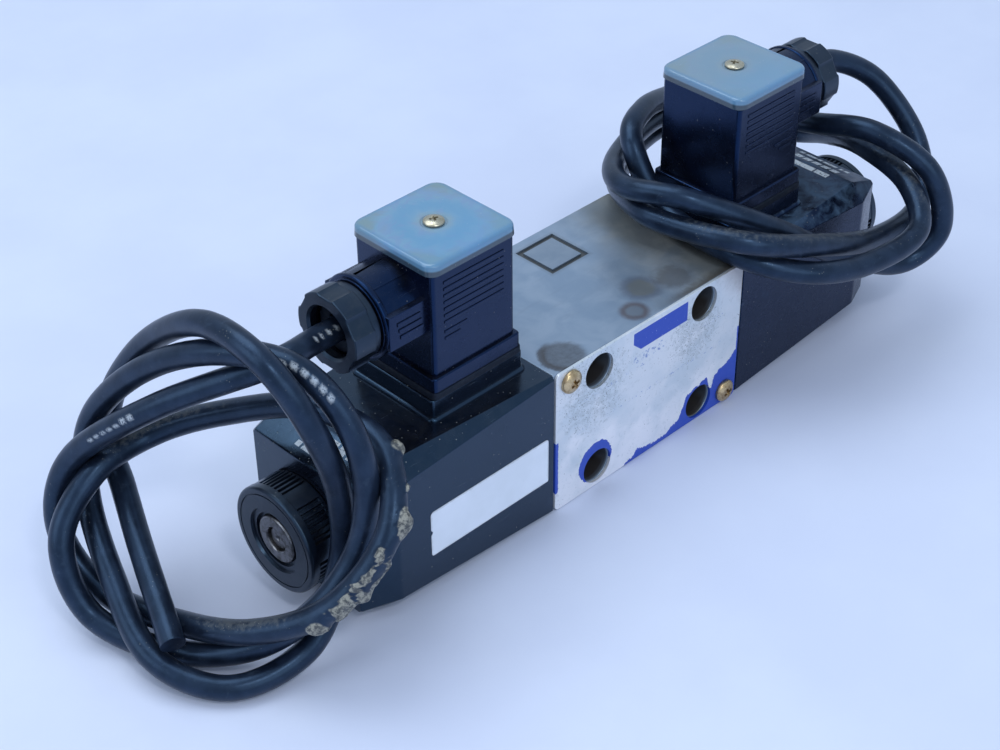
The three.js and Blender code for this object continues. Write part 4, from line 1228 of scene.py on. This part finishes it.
def gland_nut(side, letter):
    """Compression nut: six raised lands, scooped flats between them, and a flared mouth."""
    x0, collar_x, x1 = 80.5, 82.5, 88.9
    lands = 6
    outline = []
    for g in range(lands):
        centre = g * 2 * math.pi / lands
        for k in range(7):
            a = centre + math.radians(-15 + 5 * k)
            outline.append((10.35, a))
        for k in range(7):
            a = centre + math.radians(18.5 + 3.83 * k)
            scoop = 9.85 - 0.2 * math.sin(math.pi * k / 6)
            outline.append((scoop, a))
    points = [(r * math.cos(a), r * math.sin(a) + CABLE_Z) for r, a in outline]
    nut = stretch(points, collar_x, x1, 0.35)
    collar = lathe([
        (x0, 0, 0), (x0, 9.6, 0.3), (collar_x + 0.5, 9.6, 0), (collar_x + 0.5, 0, 0),
    ], "X", (0, 0, CABLE_Z))
    nut = carve(nut, [collar], "UNION")
    mouth = lathe([
        (x0 - 1, 0, 0), (x0 - 1, 8.2, 0), (86.3, 8.2, 0), (86.3, 6.7, 0), (88.2, 6.7, 0), (x1, 7.3, 0),
        (x1 + 1, 7.3, 0), (x1 + 1, 0, 0),
    ], "X", (0, 0, CABLE_Z))
    show(carve(nut, [mouth]), f"gland_nut_{letter}", NUT_BLACK, side)
    grommet = lathe(ring_section(80.8, 85.4, 3.35, 6.75, 0.5), "X", (0, 0, CABLE_Z), SMALL_ROUND)
    show(grommet, f"gland_grommet_{letter}", RUBBER, side)


# ---- labels and prints ----------------------------------------------------------------------


def coil_label():
    """A blank film label with small corner radii and one nick in its outer edge."""
    low, high = span("coil_label")
    half_x, half_z = (high.x - low.x) / 2, (high.z - low.z) / 2
    corners = [
        (half_x, -half_z, 0.4), (half_x, half_z, 0.9), (-half_x, half_z, 1.1), (-half_x, 1.3, 0.25),
        (-half_x + 0.7, 0.5, 0.4), (-half_x, -0.3, 0.2), (-half_x, -half_z, 0.7),
    ]
    centre = Vector(((low.x + high.x) / 2, 0, (low.z + high.z) / 2))
    rings = []
    for y in (high.y, low.y):
        rings.append([Vector((p.x, y, p.y)) + centre for p in filleted(corners)])
    show(loft(rings), "coil_label", LABEL_WHITE)


def coil_prints(side, letter):
    """Plain bars in place of the printed lines on top of each coil, two rows of them on its taper."""
    bars = []
    rows = [
        (86.1, 2.0, ((-11, 4.5), (-6, 9.0), (3.6, 3.2))),
        (90.6, 2.5, ((-11, 2.4), (-7.8, 2.4), (-4.6, 2.4), (-1.4, 2.4), (1.8, 2.4))),
        (95.3, 1.5, ((-12, 1.6), (-9.8, 1.1), (-7.6, 4.8), (-2.2, 1.3), (-0.3, 3.6), (4.0, 1.6))),
    ]
    for x, height, marks in rows:
        for y, length in marks:
            bars.append(soft_box((x, y, 21.99), (x + height, y + length, 22.035), 0.018, 1))
    prints = merge(bars)
    drop = 3.5 / (COIL_X1 - COIL_SHOULDER)
    for v in prints.data.vertices:
        v.co.z -= max(v.co.x - COIL_SHOULDER, 0) * drop
    obj = show(prints, f"coil_print_{letter}", PRINT_WHITE, side)
    obj.name = f"coil_print_{letter}"
    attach(obj, "valve")


# ---- cables ---------------------------------------------------------------------------------

CABLE_R = 3.2
TO_RIGHT = (0.713, -0.701, 0.0)
LOW_FRONT = (-0.25, -0.93, -0.27)
HIGH_RIGHT = (0.804, -0.197, 0.561)
TO_EYE = (-0.50, -0.62, 0.60)
ROUTE_A = [
    (-66, -27.5, 50.5), (-79, -27.5, 50.5), (-92, -27.5, 50.5), (-106, -27.5, 50.5),
    (-124.5, -7, 37.5), (-136, 14, 17), (-142.5, 14.5, -0.5), (-141.5, 0.5, -13),
    (-136, -21.5, -12.5), (-129, -43, -6), (-117, -58, 4), (-103, -62.5, 20.5), (-93, -50, 32),
    (-96.5, -29.5, 34.5), (-105.5, -7, 25.5), (-117, 7.5, 17.5), (-134, 8.5, 14.5),
    (-147, 6, 2.5), (-148, -3.5, -14), (-140, -22.5, -18.5), (-128, -40, -14),
    (-114.5, -50.5, -2), (-103, -53.5, 15), (-101.5, -51.5, 39), (-106, -39, 55),
    (-114, -19, 54), (-121, 2, 41.5), (-127.5, 16.5, 23), (-133.5, 14, 6), (-141, -4, -5),
    (-146, -25.5, -14.5), (-137, -43, -18.5), (-118, -49, -14.5), (-105, -46.5, 1),
    (-103.5, -46.5, 21.5), (-109.5, -46.5, 44), (-114, -36.5, 60), (-114, -15.5, 60),
    (-115, 5.5, 45.5), (-119.5, 17.5, 27.5), (-123, 18.5, 13), (-126.5, 9, 6),
    (-133.5, -7, -0.5), (-143, -30.5, -9),
]
ROUTE_B = [
    (66, -27.5, 50.5), (77, -27.5, 50.5), (88, -27.5, 50.5), (99, -27.5, 50.5), (110, -36, 43),
    (114, -49, 27), (104, -59, 14.5), (79, -62.5, 16), (51.5, -62.5, 26), (31, -56, 33),
    (23.5, -37.5, 33), (23, -22.5, 33), (39, -1, 27.5), (68, 10.5, 25.5), (96, 6, 25.5),
    (101, -7, 26.5), (94, -18.5, 30.5), (90, -30.5, 35), (93, -48, 38), (99, -64, 29.5),
    (101.5, -68.5, 11.5), (90.5, -63.5, 2.5), (68.5, -57, 13), (43.5, -51, 30.5),
    (26, -37, 40.5), (21.5, -18.5, 39), (35.5, -4, 36), (65, 6, 33), (82, 1.5, 23.5),
    (104, -0.5, 15), (112.5, -9.5, 14.5), (109, -22.5, 20.5), (100, -40.5, 27.5),
    (94.5, -60, 26), (85, -71.5, 19.5), (64, -70.5, 18), (44.5, -64.5, 21.5), (33, -49, 25.5),
    (33.5, -23.5, 28), (35, -9.5, 43), (48, -2, 45), (70, 5.5, 38.5),
]


def catmull_rom(points, per_span):
    """Points along a uniform Catmull-Rom curve whose two ends carry straight on."""
    p = np.array(points, float)
    p = np.vstack([2 * p[0] - p[1], p, 2 * p[-1] - p[-2]])
    out = []
    for i in range(1, len(p) - 2):
        a, b, c, d = p[i - 1], p[i], p[i + 1], p[i + 2]
        for t in np.arange(per_span) / per_span:
            square = (2 * a - 5 * b + 4 * c - d) * t**2
            cube = (3 * b - a - 3 * c + d) * t**3
            out.append(0.5 * (2 * b + (c - a) * t + square + cube))
    out.append(p[-2])
    return np.array(out)


def evenly(points, spacing):
    """The same curve as evenly spaced points, and how far along it each one lies."""
    lengths = np.concatenate([[0], np.cumsum(np.linalg.norm(np.diff(points, axis=0), axis=1))])
    steps = int(lengths[-1] / spacing)
    at = np.linspace(0, lengths[-1], steps + 1)
    return np.stack([np.interp(at, lengths, points[:, i]) for i in range(3)], 1), at


def smoothed(values, rounds):
    """A grid of values round and along the sheath, each evened out with its four neighbours."""
    for _ in range(rounds):
        total = values
        for axis in (0, 1):
            for shift in (1, -1):
                total = total + np.roll(values, shift, axis)
        values = total / 5
    return values


def window(at, start, end, fade):
    """1 between two places along the cable and 0 outside them, fading inside both ends."""
    return np.clip(min(at - start, end - at) / fade, 0, 1)


def cable(node, route, crusted, lumps, dusty, printed, seed):
    """The sheath, swept with a frame that doesn't twist, and its grime, cement and print as values on its
    points.

    Places along it are millimetres from its start. The lists hold, in order:
    crusted (start, end, heading, width, strength), lumps (middle, heading, reach, height),
    dusty (start, end, amount) and printed (start, end, heading).
    """
    sides = 28
    centre, at = evenly(catmull_rom(route, 24), 0.8)
    tangent = np.gradient(centre, axis=0)
    tangent /= np.linalg.norm(tangent, axis=1)[:, None]
    normal = np.cross(tangent[0], (0, 0, 1.0))
    rng = np.random.default_rng(seed)
    ripple = np.convolve(rng.normal(size=len(at) + 40), np.ones(41) / 41, "valid") * 0.1
    around = 2 * np.pi * np.arange(sides) / sides
    fine = smoothed(rng.normal(size=(len(at), sides)), 2)
    coarse = smoothed(rng.normal(size=(len(at), sides)), 5)
    coarse /= coarse.std()
    rings = []
    crust_values, grime_values, print_values = [], [], []
    for k in range(len(at)):
        normal = normal - tangent[k] * normal.dot(tangent[k])
        normal /= np.linalg.norm(normal)
        other = np.cross(tangent[k], normal)
        out = np.cos(around)[:, None] * normal + np.sin(around)[:, None] * other
        crust = np.zeros(sides)
        for start, end, heading, width, strength in crusted:
            faces_it = np.clip((out @ np.array(heading) - width) * 4, 0, 1)
            crust = np.maximum(crust, faces_it * window(at[k], start, end, 8) * strength)
        broken = np.clip((crust * 1.25 + coarse[k] * 0.38 + fine[k] - 0.7) * 3, 0, 1) * (crust > 0)
        lump = np.zeros(sides)
        for middle, heading, reach, height in lumps:
            faces_it = np.clip(out @ np.array(heading) - 0.45, 0, 1)
            rise = np.exp(-(((at[k] - middle) / reach) ** 2)) * faces_it * 2
            lump = np.maximum(lump, height * rise * (1 + coarse[k] * 0.25))
        broken = np.maximum(broken, np.clip(lump * 4 - 0.5, 0, 1))
        grime = np.zeros(sides)
        for start, end, amount in dusty:
            faces_up = np.clip((out[:, 2] - 0.3) * 1.7, 0, 1)
            grime = np.maximum(grime, amount * window(at[k], start, end, 20) * faces_up)
        dash = np.zeros(sides)
        for start, end, heading in printed:
            on = start < at[k] < end and (at[k] - start) % 2.4 < 1.0
            across = np.array(heading) - tangent[k] * tangent[k].dot(heading)
            dash = np.maximum(dash, on * (out @ (across / np.linalg.norm(across)) > 0.985))
        flakes = broken * (0.3 + fine[k] * 0.6 + np.maximum(coarse[k], 0) * 0.25)
        radius = CABLE_R - 0.06 + ripple[k] + fine[k] * 0.02 + flakes + lump
        rings.append(centre[k] + out * radius[:, None])
        crust_values.append(broken)
        grime_values.append(grime)
        print_values.append(dash)
    first = centre[0] + (rings[0] - centre[0]) * 0.85
    last = centre[-1] + (rings[-1] - centre[-1]) * 0.9
    rings = [first, *rings, last + tangent[-1] * 0.12]
    blank = np.zeros(sides)
    obj = loft([[Vector(p) for p in ring] for ring in rings])
    for name, values in (("crust", crust_values), ("grime", grime_values), ("print", print_values)):
        layer = obj.data.attributes.new(name, "FLOAT", "POINT")
        layer.data.foreach_set("value", np.concatenate([blank, *values, blank]).astype(np.float32))
    show(obj, node, CABLE_BLACK)
    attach(obj, "valve")


# ---- stage ----------------------------------------------------------------------------------

# The photo's camera, as fitted to the plate and its bolt holes. FOCAL and PICTURE_WIDTH are pixels.
EYE = Vector((-0.314598, -0.316520, 0.310488))
RIGHT = Vector((0.712710, -0.701411, -0.008186))
DOWN = Vector((-0.424441, -0.421928, -0.801141))
FOCAL = 1949.6
PICTURE_WIDTH = 1000
SENSOR = 36.0


def camera():
    data = bpy.data.cameras.new("camera")
    data.sensor_width = SENSOR
    data.lens = FOCAL * SENSOR / PICTURE_WIDTH
    data.clip_start = 0.02
    data.clip_end = 20
    obj = linked("camera", data)
    back = RIGHT.cross(-DOWN)
    turn = Matrix((RIGHT, -DOWN, back)).transposed().to_4x4()
    obj.matrix_world = Matrix.Translation(EYE) @ turn
    bpy.context.scene.camera = obj


def area_light(name, place, aim, size, watts, colour):
    data = bpy.data.lights.new(name, "AREA")
    data.shape = "RECTANGLE"
    data.size, data.size_y = size
    data.energy = watts
    data.color = colour
    obj = linked(name, data)
    obj.location = place
    obj.rotation_mode = "QUATERNION"
    obj.rotation_quaternion = (Vector(aim) - Vector(place)).to_track_quat("-Z", "Y")


def floor():
    f = Finish("pale_floor")
    colour = f.blend(f.noise(60, 4).rise(0.3, 0.7), (0.61, 0.655, 0.81), (0.65, 0.695, 0.84))
    relief = f.bump(f.noise(0.8, 3), 0.02)
    material = f.done(Base_Color=colour, Roughness=f.noise(3, 3) * 0.1 + 0.45, Normal=relief)
    size = 4.0
    z = cad_low.z - 0.00005
    mesh = bpy.data.meshes.new("floor")
    corners = [(-size, -size, z), (size, -size, z), (size, size, z), (-size, size, z)]
    mesh.from_pydata(corners, [], [(0, 1, 2, 3)])
    mesh.materials.append(material)
    linked("floor", mesh)


def lights():
    world = bpy.data.worlds.new("studio")
    bpy.context.scene.world = world
    world.use_nodes = True
    sky = world.node_tree.nodes["Background"]
    sky.inputs["Color"].default_value = (0.66, 0.80, 1.0, 1)
    sky.inputs["Strength"].default_value = 0.74
    middle = (0, -0.03, 0)
    cool = (0.84, 0.92, 1.0)
    area_light("overhead", (-0.15, 0.3, 0.95), middle, (0.7, 0.7), 4.5, cool)
    area_light("left", (-0.9, 0.2, 0.5), middle, (0.6, 0.6), 1.9, cool)
    area_light("front", (-0.25, -1.1, 0.55), middle, (0.8, 0.6), 2.5, cool)
    area_light("glint", (-0.35, -0.75, 1.0), middle, (0.16, 0.1), 2.2, (0.95, 0.97, 1.0))


# ---- assembly -------------------------------------------------------------------------------

valve_body()
nameplate()
plate_screws()
port_seals()
spool()
coil_label()
for side, letter in ((-1, "a"), (1, "b")):
    coil_housing(side, letter)
    coil_internals(side, letter)
    core_tube(side, letter)
    centring_spring(side, letter)
    coil_nut(side, letter)
    plug_housing(side, letter)
    plug_small_parts(side, letter)
    plug_cap(side, letter)
    gland_nut(side, letter)
    coil_prints(side, letter)

cable(
    "cable_a", ROUTE_A, seed=5,
    crusted=[
        (204, 231, LOW_FRONT, 0.2, 1.0), (229, 241, TO_RIGHT, 0.6, 1.0), (246, 259, HIGH_RIGHT, 0.72, 0.9),
        (236, 250, TO_RIGHT, 0.86, 0.7),
    ],
    lumps=[
        (235, TO_RIGHT, 2.6, 1.5), (251, HIGH_RIGHT, 1.6, 0.7), (205, LOW_FRONT, 2.2, 0.8),
        (216, TO_RIGHT, 3.0, 0.7),
    ],
    dusty=[(160, 215, 1.0), (285, 345, 1.0), (480, 505, 0.5), (700, 745, 0.35)],
    printed=[(19, 30, TO_EYE), (76, 92, TO_EYE), (498, 511, TO_EYE)],
)
cable(
    "cable_b", ROUTE_B, seed=6,
    crusted=[(344, 352, HIGH_RIGHT, 0.8, 0.5)],
    lumps=[],
    dusty=[(105, 200, 0.8), (350, 400, 0.6), (640, 700, 0.8), (720, 780, 0.5)],
    printed=[],
)

for obj in list(bpy.context.scene.objects):
    nodes = list(obj.get("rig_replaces", []))
    if nodes and "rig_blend" not in obj and "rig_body" not in obj:
        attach(obj, BODY_OF[nodes[0]])

floor()
camera()
lights()
bpy.context.scene.view_settings.view_transform = "Standard"
